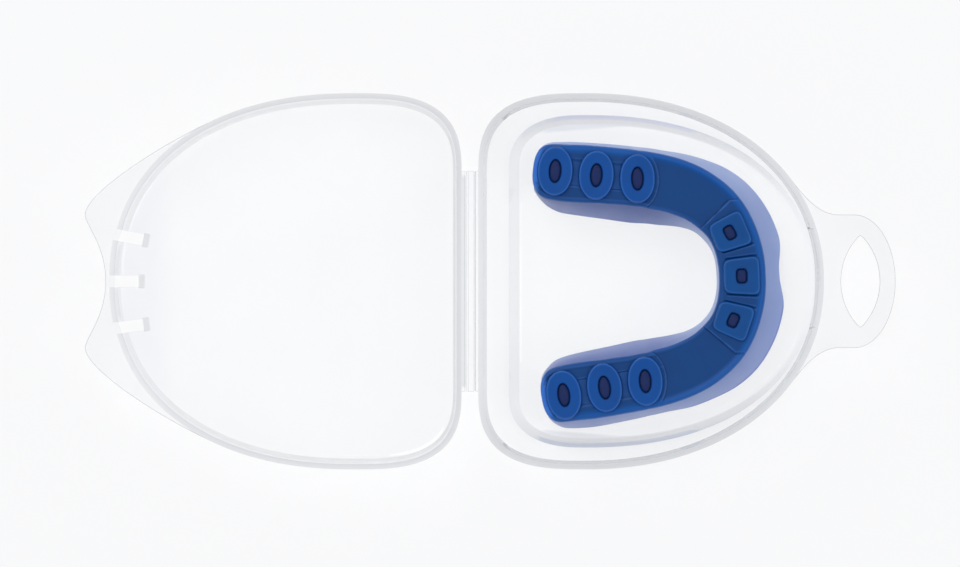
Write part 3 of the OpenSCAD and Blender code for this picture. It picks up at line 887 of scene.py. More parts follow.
lid_section = [
    lid_ring(PANEL, -EDGE_R, 0),
    lid_ring(PANEL, -0.25 * EDGE_R, 0.25 * EDGE_R),
    lid_ring(PANEL, 0, EDGE_R),
    lid_ring(LID, 0, BAND_Z),
    lid_ring(LID, 0, RIM_Z),
    lid_ring(LID, -RIM_T, RIM_Z),
    lid_ring(LID, -RIM_T, BAND_Z),
    lid_ring(PANEL, -RIM_T, WALL + 1.1 * EDGE_R),
    lid_ring(PANEL, -RIM_T - 0.35 * EDGE_R, WALL + 0.4 * EDGE_R),
    lid_ring(PANEL, -RIM_T - 1.2 * EDGE_R, WALL),
]
dish = loft(bmesh.new(), lid_section)
round_edges(dish, MOULD_R)
case_lid = finish_piece(dish, "case_lid")

# %% [markdown]
# ## Slots, ribs, catches and ears
#
# Three slots run in from the lid's front, each closed by a small upright rib. They leave two tongues of
# wall that can spring over the bead. A slot is three blocks that are cut out: one through the panel,
# and one on each side of the thin plate that bridges the slot at the rim. A rib is a block that is
# added. The outer ones are turned, each by its own small angle, to stand nearly square on the rim.

# %% Slots and ribs
FAR_SLOT_TURN = 11.0
NEAR_SLOT_TURN = 7.0
SLOT_W = 2.5
SLOT_REACH = 6.0
SLOT_SKIN = 1.2
SLOT_EDGE_R = 0.014
RIB_W = 3.1
RIB_T = 1.5
CUT_PAST = 2.0


def on_lid_rim(piece, y, turn):
    """Moves a piece from the origin onto the lid's rim, with its -X pointing inwards."""
    turned = Matrix.Rotation(math.radians(turn), 4, "Z")
    piece.data.transform(Matrix.Translation((front_x(LID, y) * MM, y * MM, 0)) @ turned)


rib_low = (-SLOT_REACH - RIB_T, -RIB_W / 2, WALL - 0.4)
rib_high = (-SLOT_REACH, RIB_W / 2, RIB_TOP)
# The cuts of a slot: from and to along it, from and to in height, and half its width. No two of them
# share a plane with each other or with the wall, which the Boolean would leave ragged.
slot_cuts = (
    (-SLOT_REACH - 0.13, -SLOT_SKIN, -CUT_PAST, RIM_Z + 1, SLOT_W / 2),
    (-SLOT_SKIN - 0.37, 0.93, -CUT_PAST - 0.3, PLATE_LOW - 0.1, SLOT_W / 2 + 0.05),
    (-SLOT_SKIN - 0.29, 0.87, PLATE_TOP + 0.02, RIM_Z + 1.3, SLOT_W / 2 + 0.08),
)
for slot_y, slot_turn in ((-SLOT_PITCH, -NEAR_SLOT_TURN), (0.0, 0.0), (SLOT_PITCH, FAR_SLOT_TURN)):
    rib = block("rib_solid", rib_low, rib_high, radius=0.3)
    on_lid_rim(rib, slot_y, slot_turn)
    combine(case_lid, rib, "UNION")
    for low_x, high_x, low_z, high_z, half in slot_cuts:
        slot = block("slot_solid", (low_x, -half, low_z), (high_x, half, high_z), radius=SLOT_EDGE_R)
        on_lid_rim(slot, slot_y, slot_turn)
        combine(case_lid, slot, "DIFFERENCE")

# %% Ears and catches
EAR_ROOT = HALF_W - 5.8
EAR_TIP = 14.85
CATCH_REACH = -0.65
CATCH_DROP = 0.45

ear_x = 2 * HINGE_X - low_mm("lid_ear_flange").x
notch_x = LID_FRONT + 1.15
ear_root = rim_point(LID, EAR_ROOT)
leaves_rim = ear_root + 14.7 * rim_tangent(LID, EAR_ROOT)
ear_tip = Vector((ear_x, EAR_TIP))
notch = Vector((notch_x, 0))
ear_half = (
    bezier(ear_root, leaves_rim, Vector((ear_x, 1.3 * EAR_TIP)), ear_tip)
    + bezier(ear_tip, Vector((ear_x, 0.84 * EAR_TIP)), Vector((notch_x, 0.54 * EAR_TIP)), notch)
    + [notch]
)
ears = plate("ear_solid", plate_loop(ear_half, LID, EAR_ROOT, 0.5))
combine(case_lid, ears, "UNION")
for side in (-1, 1):
    ends = sorted((side * SLOT_W / 2, side * (SLOT_PITCH - SLOT_W)))
    catch = bead("catch_solid", LID, -RIM_T, CATCH_REACH, RIM_Z - CATCH_DROP, *ends)
    combine(case_lid, catch, "UNION")
add_leaf(case_lid)


def turn_over_hinge(piece):
    """Mirrors a piece from over the base into the open lid's place."""
    bm = bmesh.new()
    bm.from_mesh(piece.data)
    bmesh.ops.scale(bm, vec=(-1, 1, 1), verts=bm.verts[:])
    bmesh.ops.translate(bm, vec=(2 * HINGE_X * MM, 0, 0), verts=bm.verts[:])
    bmesh.ops.reverse_faces(bm, faces=bm.faces[:])
    bm.to_mesh(piece.data)
    bm.free()


turn_over_hinge(case_lid)
settle_normals(case_lid)
store_upward(case_lid)
case_lid.data.materials.append(lid_plastic)
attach(case_lid, "lid")
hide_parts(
    "lid_panel", "lid_skirt", "lid_ear_flange", "lid_latch_catches", "slot_end_ribs",
    "lid_hinge_leaf",
)

# %% [markdown]
# ## The living hinge
#
# The strip between the halves bends along two thin lines, a quarter turn at each. The middle strip is
# stiff and moves as its own body. Each flex line is a film 0.3 mm thick, so it is a separate piece that
# reaches from one body to the next, with a few rows across it so that it can curve.

# %% Strip and films
FLEX_PITCH = 2.0
FILM_T = 0.3
FILM_ROWS = 8
FILM_OVERLAP = 0.16
FILM_SHORTER = 0.2
FILM_SUNK = 0.02
strip = block(
    "hinge_strip",
    (HINGE_X - FLEX_PITCH / 2 + GROOVE, land_low.y, land_low.z),
    (HINGE_X + FLEX_PITCH / 2 - GROOVE, land_high.y, land_high.z),
    radius=0.12,
)
store_upward(strip)
strip.data.materials.append(base_plastic)
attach(strip, "hinge_land")
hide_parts("hinge_land")


def flex_film(name, flex_x):
    """A film across a flex line, from one body at its +X side to the next."""
    bm = bmesh.new()
    width = 2 * GROOVE + FILM_OVERLAP
    length = land_high.y - land_low.y - FILM_SHORTER
    bmesh.ops.create_grid(bm, x_segments=FILM_ROWS, y_segments=1, size=0.5)
    bmesh.ops.scale(bm, vec=(width, length, 1), verts=bm.verts[:])
    bmesh.ops.translate(bm, vec=(flex_x, 0, land_high.z - FILM_T - FILM_SUNK), verts=bm.verts[:])
    made = bmesh.ops.extrude_face_region(bm, geom=bm.faces[:])["geom"]
    top = [item for item in made if isinstance(item, bmesh.types.BMVert)]
    bmesh.ops.translate(bm, vec=(0, 0, FILM_T), verts=top)
    bmesh.ops.recalc_face_normals(bm, faces=bm.faces[:])
    film = finish_piece(bm, name)
    store_upward(film)
    film.data.materials.append(base_plastic)
    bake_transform(film)


flex_film("flex_film_base", HINGE_X + FLEX_PITCH / 2)
flex_film("flex_film_lid", HINGE_X - FLEX_PITCH / 2)

# %% [markdown]
# ## The mouthguard's arch
#
# Everything on the mouthguard follows one curve, the middle line of the teeth: half an ellipse at the
# front, and two arms that spread a little. A place on it is an angle, from the end of one arm to the
# end of the other. `beside` steps off the curve to either side, so a width becomes a shape. The edges
# of a moulded mouthguard wander a little off such a curve, pulled in beside the last molars and pushed
# out at the canines, so two short lists of stops say by how much, and `between` runs smoothly through
# them.

# %% Middle line of the arch
GUARD_TURN = math.radians(2.2)
GUARD_SHIFT = 0.3
ARM_LEN = 22.9
ARM_SPREAD = 3.1
ARM_BEND = 1.1
ARCH_A = 22.75
ARCH_B = 22.5
ARM_TURN = 58.0
ARM_END_R = 5.0
ARM_END_CURVE = 2.6
GUARD_Z = low_mm("fit_liner").z
PLATE_Z = high_mm("bite_frame").z - GUARD_Z
PLATE_UNDER = low_mm("bite_frame").z - GUARD_Z
PAD_Z = high_mm("incisor_pads").z - GUARD_Z
arch_middle = Matrix.Translation((REAR_X + 13.0 + ARM_LEN, GUARD_SHIFT, GUARD_Z))
guard_place = arch_middle @ Matrix.Rotation(GUARD_TURN, 4, "Z")


def arm_y(u):
    """Sideways place of the middle line at a place along the mouthguard."""
    if u <= 0:
        return ARCH_B + ARM_SPREAD * (-u / ARM_LEN) ** ARM_BEND
    return ARCH_B * math.sqrt(max(0.0, 1 - (u / ARCH_A) ** 2))


def arch(q):
    """The middle line at an angle in degrees: past 90 it runs back along an arm."""
    if abs(q) <= 90:
        return Vector((ARCH_A * math.cos(math.radians(q)), ARCH_B * math.sin(math.radians(q))))
    u = -ARM_LEN * (abs(q) - 90) / ARM_TURN
    return Vector((u, math.copysign(arm_y(u), q)))


def arch_out(q):
    """The direction away from the tongue."""
    along = arch(q + 0.5) - arch(q - 0.5)
    return Vector((along.y, -along.x)).normalized()


def left_to_end(q):
    """How much of an arm is left at an angle; more than its length in the front."""
    return ARM_LEN * (1 - (abs(q) - 90) / ARM_TURN)


def arm_end(q):
    """1 along the arch, falling to 0 at the very end of an arm."""
    share = 1 - min(1.0, max(0.0, left_to_end(q) / ARM_END_R))
    return (1 - share**ARM_END_CURVE) ** (1 / ARM_END_CURVE)


def arm_share(q):
    """0 at the middle of the front, 1 along the arms."""
    return math.sin(math.radians(q)) ** 2 if abs(q) <= 90 else 1.0


# %% Width of the frame
FRAME_W = 12.4
FRAME_FRONT_W = 10.5


def frame_half(q):
    return (FRAME_FRONT_W + (FRAME_W - FRAME_FRONT_W) * arm_share(q)) / 2


def between(stops, place):
    """A smooth curve through (place, value) stops."""
    n = 0
    while n < len(stops) - 2 and place > stops[n + 1][0]:
        n += 1
    (p0, v0), (p1, v1) = stops[n], stops[n + 1]
    before, after = stops[max(n - 1, 0)], stops[min(n + 2, len(stops) - 1)]
    t = min(1.0, max(0.0, (place - p0) / (p1 - p0)))
    first = (v1 - before[1]) / (p1 - before[0]) * (p1 - p0)
    last = (after[1] - v0) / (after[0] - p0) * (p1 - p0)
    s = 1 - t
    return s * s * (1 + 2 * t) * v0 + t * t * (1 + 2 * s) * v1 + s * s * t * first - s * t * t * last


OUTER_EDGE = [
    (0, -0.12), (20, 0.12), (38, 0.35), (52, 0.08), (72, -0.33), (81, -0.26), (92, 0.18),
    (105, 0.3), (120, 0.25), (132, -0.1), (139, -0.2), (148, 0),
]
TONGUE_EDGE = [
    (0, 0.05), (10, -0.08), (20, -0.33), (30, -0.46), (40, -0.24), (50, -0.03), (60, 0.31),
    (70, 0.49), (80, 0.53), (88, 0.15), (95, -0.05), (105, 0.02), (112, 0.1), (120, 0.3),
    (130, 0.42), (136, 0.3), (142, 0.2), (148, 0),
]


def frame_edge(q, way):
    """Half width of the frame to one side: away from the tongue for way above 0, else towards it."""
    stops = OUTER_EDGE if way > 0 else TONGUE_EDGE
    return (frame_half(q) + between(stops, abs(q))) * arm_end(q)


def beside(q, off):
    return arch(q) + off * arch_out(q)


def smooth_step(low, high, value):
    """0 at low, 1 at high, and an S between them; low may be the larger one."""
    share = min(1.0, max(0.0, (value - low) / (high - low)))
    return share * share * (3 - 2 * share)


print("arm ends at", [round(value, 1) for value in arch(90 + ARM_TURN)])

# %% [markdown]
# ## Places of the pads
#
# Three oval pads stand on each arm and three squarer ones on the front. Each pad has its own small
# frame: a point on the middle line and a turn that lays its length across the arch.

# %% Pads on the arch
MOLAR_END = 4.9
MOLAR_PITCH = 9.1
PAD_FOLLOWS = 0.7
INCISOR_PITCH = 9.85
INCISOR_BACK = 0.25


def molar_place(side, number):
    """Where a molar pad lies and how it is turned, on one arm (side 1 or -1)."""
    u = MOLAR_END + number * MOLAR_PITCH - ARM_LEN
    slope = (arm_y(u + 0.5) - arm_y(u - 0.5)) * PAD_FOLLOWS
    turn = Matrix.Rotation(side * math.atan(slope), 4, "Z")
    return Matrix.Translation((u, side * arm_y(u), 0)) @ turn


def incisor_place(number):
    """Where an incisor pad lies, for -1, 0 and 1, with its X pointing away from the tongue."""
    q = math.degrees(math.asin(number * INCISOR_PITCH / ARCH_B))
    middle, out = beside(q, -INCISOR_BACK), arch_out(q)
    return Matrix.Translation((*middle, 0)) @ Matrix.Rotation(math.atan2(out.y, out.x), 4, "Z")


molar_places = [molar_place(side, number) for side in (1, -1) for number in range(3)]
incisor_places = [incisor_place(number) for number in (-1, 0, 1)]

# %% [markdown]
# An incisor pad is a square that widens away from the tongue. The middle one widens on both sides. The
# outer ones widen only towards the middle one, and lean a little, so that the strips between the pads
# keep their width.

# %% Edge of an incisor pad
SQUARE_L = 7.7
SQUARE_W = 7.75
MIDDLE_WIDENS = 0.7
OUTER_WIDENS = 0.75
OUTER_SIDE = 3.45
OUTER_SIDE_MORE = 0.1
OUTER_LEAN = 0.09


def pad_side(number, way, x):
    """Half width of an incisor pad at a step x outwards, on one side (way 1 or -1)."""
    share = x / (SQUARE_L / 2)
    if number == 0:
        return SQUARE_W / 2 + MIDDLE_WIDENS / 2 * share
    if way == number:
        return OUTER_SIDE
    return OUTER_SIDE + OUTER_SIDE_MORE + OUTER_WIDENS * share


# %% [markdown]
# ## Relief of the bite frame
#
# The bite frame's top isn't flat. Along the molars a shallow trough runs between raised borders. Then
# comes a smooth sunken stretch with a rounded outer border, and the front is a raised block with
# grooves beside its pads. Cutting each of these out would take dozens of steps. As the whole top is a
# height over a plan, a fine grid is laid along the arch and each vertex is lifted by a formula that
# reads like a description of the zones. The grid is extruded from the flat underside, so the sides
# close.

# %% Zones of the frame's top
BLOCK_INNER = Vector((13.76, 11.12))
BLOCK_CORNER = Vector((20.4, 17.15))
ZONE_END = (4.75, 6.8)


def past_block_edge(point):
    """How far a point lies inside the incisor block, from its slanting edge and its blunt side."""
    edge = (BLOCK_CORNER - BLOCK_INNER).normalized()
    off = Vector((point.x, abs(point.y))) - BLOCK_INNER
    return min(off.x * edge.y - off.y * edge.x, BLOCK_CORNER.y - abs(point.y))


def molar_zone(point):
    """1 round the molar pads, up to an arc about the third one, and 0 in front of it."""
    third = molar_places[2].translation
    along = (point.x - third.x) / ZONE_END[0]
    across = (abs(point.y) - third.y) / ZONE_END[1]
    if along < 0:
        return 1.0
    return 1 - smooth_step(0.985, 1.035, math.hypot(along, across))


def trough(q, off):
    """1 in the trough between the first and the third molar pad, 0 elsewhere."""
    left = left_to_end(q)
    past_first = smooth_step(MOLAR_END, MOLAR_END + 1, left)
    past_third = smooth_step(0, 1, left - MOLAR_END - 2 * MOLAR_PITCH + 1)
    tongue_side = smooth_step(-3.0, -2.75, off)
    outer_side = smooth_step(2.6, 3.4, off)
    return past_first * (1 - past_third) * tongue_side * (1 - outer_side)


# %% Grooves and holes
GROOVE_AWAY = 0.22
GROOVE_HALF = 0.36
PAD_CORE = (3.6, 4.4)


def groove_depth(point):
    """1 in the grooves between the incisor pads, 0 elsewhere."""
    deepest = 0.0
    for number, place in zip((-1, 0, 1), incisor_places):
        local = place.inverted() @ Vector((point.x, point.y, 0))
        along = abs(local.x) - SQUARE_L / 2
        if along > 0.1:
            continue
        for way in (-1, 1):
            if number * way == 1:
                continue
            off = abs(way * local.y - pad_side(number, way, local.x) - GROOVE_AWAY)
            across = 1 - smooth_step(0.2 * GROOVE_HALF, 1.4 * GROOVE_HALF, off)
            deepest = max(deepest, across * smooth_step(0.1, -0.9, along))
    return deepest


def in_pad(point):
    """1 well inside a pad, where the frame is sunk so that the pad's hole is clear."""
    sunk = 0.0
    for place in molar_places + incisor_places:
        local = place.inverted() @ Vector((point.x, point.y, 0))
        from_middle = math.hypot(local.x / PAD_CORE[0], local.y / PAD_CORE[1])
        sunk = max(sunk, 1 - smooth_step(0.55, 0.75, from_middle))
    return sunk


# %% Heights of the frame's top
TROUGH_DEPTH = 0.42
BORDER_DROP = 0.12
FLOOR_DROP = 0.4
BLOCK_RISE = 0.28
GROOVE_DEPTH = 0.42
PAD_SUNK = 0.9
FRAME_EDGE_R = 1.1


def frame_rise(q, off):
    """Height of the frame's top over its plate, at an angle and a step off the middle line."""
    room = frame_edge(q, off) - abs(off)
    point = beside(q, off)
    border = 1.2 if off > 0 else 0.6
    smooth_floor = 0.05 - FLOOR_DROP * smooth_step(border - 0.7, border + 0.7, room)
    molar = 0.1 - TROUGH_DEPTH * trough(q, off)
    molar -= BORDER_DROP * smooth_step(-2.6, -3.0, off) * smooth_step(0.9, 1.5, room)
    rise = smooth_floor + (molar - smooth_floor) * molar_zone(point)
    front = smooth_step(-0.02, 0.3, past_block_edge(point))
    rise += (BLOCK_RISE - rise) * front
    rise -= GROOVE_DEPTH * groove_depth(point) * front
    rise -= PAD_SUNK * in_pad(point)
    if room < FRAME_EDGE_R:
        inside = FRAME_EDGE_R - max(room, 0.0)
        rise -= FRAME_EDGE_R - math.sqrt(max(0.0, FRAME_EDGE_R**2 - inside**2))
    return rise


# %% [markdown]
# ## Rows along the arch
#
# The rows are close together where an arm's end is round, and about 0.2 mm apart elsewhere, which is
# finer than the smallest step that should look crisp. The relief's own curvature is stored with each
# vertex: it gives edges that stand out a painted highlight and hollows a painted shade.

# %% Rows of the grid
END_ROWS = 14


def arch_rows(spacing):
    """Angles from one arm's end to the other, closer together at the round ends."""
    arm = ARM_LEN - ARM_END_R
    arms = int(arm / spacing)
    left = [ARM_END_R * (1 - math.cos(math.radians(90 * step / END_ROWS))) for step in range(END_ROWS)]
    left += [ARM_END_R + arm * step / arms for step in range(arms)]
    start = [90 + ARM_TURN * (1 - to_end / ARM_LEN) for to_end in left]
    front = int(ARCH_A * math.pi / 2 / spacing)
    start += [90 * (1 - step / front) for step in range(front)]
    return start + [0.0] + [-q for q in reversed(start)]


# %% Values for the finishes


# The stored value gives the rubber painted highlights on edges and painted shade in hollows.
def store_edge_light(bm, reach):
    """Keeps each vertex's height over its neighbours: above 0 on edges, below 0 in hollows."""
    layer = bm.verts.layers.float.new("edge_light")
    for vertex in bm.verts:
        around = [edge.other_vert(vertex).co for edge in vertex.link_edges]
        middle = sum(around, Vector()) / max(1, len(around))
        vertex[layer] = max(-1.0, min(1.0, (vertex.co - middle).dot(vertex.normal) / reach))


def plan_key(vertex):
    """A vertex's place in the plan, rounded so that the top and the underside share it."""
    return round(vertex.co.x, 4), round(vertex.co.y, 4)


def store_painted_light(bm, plan):
    """Keeps where light is painted: through the thin outer border and the arms' ends, and in the
    trough.
    """
    border = bm.verts.layers.float.new("thin_border_glow")
    ends = bm.verts.layers.float.new("arm_end")
    floor = bm.verts.layers.float.new("trough")
    for vertex in bm.verts:
        q, off = plan.get(plan_key(vertex), (0.0, 0.0))
        room = frame_edge(q, off) - abs(off)
        vertex[border] = smooth_step(2.3, 0.9, room) if off > 0 else 0.0
        vertex[ends] = smooth_step(1.9, 0.7, left_to_end(q) - 1.2 * (1 - arm_end(q)))
        vertex[floor] = trough(q, off)


# %% The bite frame
ROW_SPACING = 0.21
ROWS_ACROSS = 58


def arch_plate(rows, across):
    """A flat grid along the arch at the frame's underside, and the angle and offset of its vertices."""
    bm = bmesh.new()
    bmesh.ops.create_grid(bm, x_segments=len(rows) - 1, y_segments=across, size=1)
    places = {}
    for vertex in bm.verts:
        q = rows[round((vertex.co.x + 1) / 2 * (len(rows) - 1))]
        places[vertex] = (q, vertex.co.y * frame_edge(q, vertex.co.y))
    for vertex, (q, off) in places.items():
        vertex.co = (*beside(q, off), PLATE_UNDER)
    return bm, places


bm, places = arch_plate(arch_rows(ROW_SPACING), ROWS_ACROSS)
plan = {plan_key(vertex): place for vertex, place in places.items()}
lift = {key: frame_rise(*place) for key, place in plan.items()}
made = bmesh.ops.extrude_face_region(bm, geom=bm.faces[:])["geom"]
for vertex in [item for item in made if isinstance(item, bmesh.types.BMVert)]:
    vertex.co.z = PLATE_Z + lift[plan_key(vertex)]
bmesh.ops.remove_doubles(bm, verts=bm.verts[:], dist=1e-3)
bmesh.ops.recalc_face_normals(bm, faces=bm.faces[:])
underside = [face for face in bm.faces if face.normal.z < -0.9]
bmesh.ops.dissolve_faces(bm, faces=underside)
bm.normal_update()
store_edge_light(bm, 0.05)
store_painted_light(bm, plan)
bmesh.ops.transform(bm, matrix=guard_place, verts=bm.verts[:])
frame_piece = finish_piece(bm, "rubber_bite_frame", smooth_below=60)

# %% [markdown]
# ## Pads
#
# A pad is a low ring with a hole for the liner's plug. Its section goes up the outside, over a rounded
# shoulder, across the flat top and down into the hole, so the loft's rings do all of it, and each
# ring carries a value for its edge: a painted highlight above 0, a painted shade below 0.

# %% Pads from rings
PAD_STEPS = 64


def superellipse(a, b, exponent):
    """A closed superellipse with half axes a and b."""
    points = []
    for step in range(PAD_STEPS):
        angle = 2 * math.pi * step / PAD_STEPS
        c, s = math.cos(angle), math.sin(angle)
        x = a * math.copysign(abs(c) ** (2 / exponent), c)
        y = b * math.copysign(abs(s) ** (2 / exponent), s)
        points.append((x, y))
    return points


def pad_mesh(outer, hole, place):
    """A pad from an outer shape and a hole, each a function of how far it is grown."""
    bm = bmesh.new()
    layer = bm.verts.layers.float.new("edge_light")
    # Each row: the shape, how far it is grown, the height, and the edge's painted highlight, above 0,
    # and painted shade, below 0.
    section = [
        (outer, 0.34, PLATE_Z - 0.5, -0.8),
        (outer, 0.22, PLATE_Z + 0.45, -0.5),
        (outer, 0.1, PAD_Z - 0.22, 0.4),
        (outer, 0.02, PAD_Z - 0.07, 1.0),
        (outer, -0.12, PAD_Z, 0.9),
        (outer, -0.3, PAD_Z, 0.1),
        (outer, -0.6, PAD_Z - 0.02, 0.0),
        (hole, 0.45, PAD_Z - 0.03, 0.0),
        (hole, 0.18, PAD_Z - 0.07, -0.2),
        (hole, 0.0, PAD_Z - 0.3, -1.0),
        (hole, -0.05, PLATE_Z - 0.9, -1.0),
    ]
    ring = None
    for shape, grow, z, light in section:
        points = [(x, y, z) for x, y in shape(grow)]
        ring = next_ring(bm, ring, points) if ring else start_ring(bm, points)
        for vertex in ring:
            vertex[layer] = light
    bmesh.ops.contextual_create(bm, geom=ring_edges(bm, ring))
    bmesh.ops.contextual_create(bm, geom=[edge for edge in bm.edges if edge.is_boundary])
    bmesh.ops.recalc_face_normals(bm, faces=bm.faces[:])
    bmesh.ops.transform(bm, matrix=guard_place @ place, verts=bm.verts[:])
    return bm


def join_meshes(meshes):
    """Puts several meshes into one."""
    whole = meshes[0]
    for part in meshes[1:]:
        held = bpy.data.meshes.new("held")
        part.to_mesh(held)
        part.free()
        whole.from_mesh(held)
        bpy.data.meshes.remove(held)
    return whole


# %% Shapes of the pads


def molar_outer(grow):
    return superellipse(3.74 + grow, 5.28 + grow, 2.1)


def molar_hole(grow):
    return superellipse(1.35 + grow, 2.6 + grow, 2.05)


def incisor_outer(number):
    """The edge of one incisor pad, as a function of how far it is grown."""
    def edge(grow):
        points = []
        for x, y in superellipse(SQUARE_L / 2 + grow, 1.0, 6.5):
            way = 1 if y > 0 else -1
            side = y * (pad_side(number, way, x) + grow)
            points.append((x + OUTER_LEAN * number * side, side))
        return points
    return edge


def incisor_hole(grow):
    return superellipse(1.22 + grow, 1.62 + grow, 3.4)


# %% The pads


def molar_pads(name, pad_places):
    """The pads of one arm, as one piece."""
    return finish_piece(join_meshes([pad_mesh(molar_outer, molar_hole, p) for p in pad_places]), name)


pads_left = molar_pads("molar_rings_left", molar_places[:3])
pads_right = molar_pads("molar_rings_right", molar_places[3:])
squares = [pad_mesh(incisor_outer(n), incisor_hole, p) for n, p in zip((-1, 0, 1), incisor_places)]
pads_front = finish_piece(join_meshes(squares), "incisor_squares")

# %% [markdown]
# ## Plugs
#
# The liner is moulded through the frame, and its violet plugs show at the bottom of each pad's hole.
# Each is a short post with a slightly domed top.

# %% Plugs in the holes
PLUG_TOP = PAD_Z - 0.75


def plug_mesh(hole, place):
    """A post that fills a hole, domed at the top."""
    profile = [
        (-0.06, PLATE_Z - 0.85),
        (-0.06, PLUG_TOP - 0.2),
        (-0.25, PLUG_TOP - 0.06),
        (-0.7, PLUG_TOP),
    ]
    bm = loft(bmesh.new(), [[(x, y, z) for x, y in hole(grow)] for grow, z in profile])
    bmesh.ops.transform(bm, matrix=guard_place @ place, verts=bm.verts[:])
    return bm


posts = [plug_mesh(molar_hole, place) for place in molar_places]
posts += [plug_mesh(incisor_hole, place) for place in incisor_places]
plugs = finish_piece(join_meshes(posts), "liner_plugs_top")

# %% [markdown]
# ## The liner
#
# The liner is a trough that opens downwards, over the teeth. Its outer section is four points, lofted
# along the arch from one arm's end to the other, and the trough is a second loft that is cut out of it.
# The front wall flares out and the tongue side flares in, by steps that two lists of stops give, and
# the front has a soft notch in its lower edge for the fold of skin behind the lip.

# %% Flare of the liner's walls
OUTER_FLARE = [
    (-148, 0.1), (-143, 0.55), (-138, 1.2), (-130, 1.8), (-120, 2.15), (-105, 2.05), (-92, 1.8),
    (-80, 1.35), (-70, 1.95), (-60, 2.65), (-50, 3.75), (-40, 4.5), (-30, 4.75), (-20, 4.75),
    (0, 4.45), (20, 4.42), (30, 4.26), (40, 3.86), (50, 3.04), (60, 1.9), (70, 1.06), (78, 0.65),
    (92, 1.0), (105, 1.1), (120, 0.95), (130, 0.7), (136, 0.4), (142, 0.2), (148, 0.1),
]
TONGUE_FLARE = [
    (-148, 0.1), (-142, 0.7), (-138, 1.4), (-134, 1.93), (-125, 2.33), (-105, 2.63), (-90, 2.98),
    (-80, 3.11), (-70, 2.84), (-60, 2.27), (-50, 1.4), (-40, 0.7), (-30, 0.26), (-20, 0.14),
    (0, 0.4), (20, 0.1), (30, 0.4), (40, 0.86), (50, 1.89), (60, 2.89), (70, 3.55), (80, 3.7),
    (90, 3.65), (105, 3.3), (120, 3.05), (130, 2.8), (134, 2.35), (138, 1.64), (142, 0.83),
    (148, 0.1),
]


# %% Sections of the liner
LINER_T = 2.2
ROOF_T = 1.8
NOTCH_AT = 0.3
NOTCH_HALF = 5.8
NOTCH_RISE = 3.9
LINER_INSET = 0.05
ARM_END_Q = 90 + ARM_TURN


def notch_rise(q):
    """How far the lower edge of the front wall is raised at the notch."""
    if abs(q) > 90:
        return 0.0
    return NOTCH_RISE * smooth_step(NOTCH_HALF, 0.4, abs(arch(q).y - NOTCH_AT))


def liner_ring(q):
    """The liner's outer section at an angle, rounded off at an arm's end."""
    half = frame_half(q) * arm_end(q)
    out, back = half + between(OUTER_FLARE, q), -half - between(TONGUE_FLARE, q)
    inset = LINER_INSET * arm_end(q)
    roof, roof_back = frame_edge(q, 1) - inset, inset - frame_edge(q, -1)
    rise = notch_rise(q)
    low = out + (roof - out) * rise / PLATE_UNDER
    section = [(low, rise), (roof, PLATE_UNDER), (roof_back, PLATE_UNDER), (back, 0)]
    return [(*beside(q, off), z) for off, z in section]


def trough_ring(q):
    """The space for the teeth at an angle: the walls' thickness inside the outer section."""
    half = frame_half(q)
    inside = max(-ARM_END_Q, min(ARM_END_Q, q))
    low_out = half + between(OUTER_FLARE, inside) - LINER_T
    low_back = -half - between(TONGUE_FLARE, inside) + LINER_T
    roof_z = PLATE_UNDER - ROOF_T
    section = [
        (low_out + 0.1, -0.5),
        (half - LINER_T, roof_z),
        (-half + LINER_T, roof_z),
        (low_back - 0.1, -0.5),
    ]
    return [(*beside(q, off), z) for off, z in section]


# %% The liner
LINER_SPACING = 0.6


def liner_solid(name, rings, radius, segments, smooth_below):
    """A loft along the arch with rounded edges, in the mouthguard's place."""
    bm = loft(bmesh.new(), rings)
    round_edges(bm, radius, sharper_than=40, segments=segments)
    bmesh.ops.transform(bm, matrix=guard_place, verts=bm.verts[:])
    return finish_piece(bm, name, smooth_below)


rows = arch_rows(LINER_SPACING)[1:-1]
past_end = ARM_END_Q + 4
trough_rows = [past_end] + rows + [-past_end]
liner = liner_solid("soft_fit_liner", [liner_ring(q) for q in rows], 0.7, 5, 50)
teeth_space = liner_solid("teeth_space", [trough_ring(q) for q in trough_rows], 0.8, 4, 32)
combine(liner, teeth_space, "DIFFERENCE")
settle_normals(liner, smooth_below=40)


# %% Sides of the liner


def tongue_share(point):
    """0 outside the arch's middle line, 1 inside it, for a point in the mouthguard's own frame."""
    if point.x <= 0:
        return smooth_step(1.5, -1.5, abs(point.y) - arm_y(point.x))
    return smooth_step(0.08, -0.08, math.hypot(point.x / ARCH_A, point.y / ARCH_B) - 1)


side_values = liner.data.attributes.new("tongue_side", "FLOAT", "POINT")
to_guard = guard_place.inverted()
for vertex, value in zip(liner.data.vertices, side_values.data):
    value.value = tongue_share(to_guard @ (vertex.co / MM))

# %% [markdown]
# ## Finishes of the mouthguard
#
# The frame and its pads are one blue rubber, a little brighter on the pads. What changes over it is
# small: slow mottling in the colour and a fine grain from the mould. The stored edge value gives
# edges a painted highlight and hollows a painted shade. Where the rubber gets thin, at its border and
# the arms' ends, its colour is painted lighter for light that comes through from below, and the
# trough is painted lighter, against the shade of the pads round it.

# %% Blue rubber


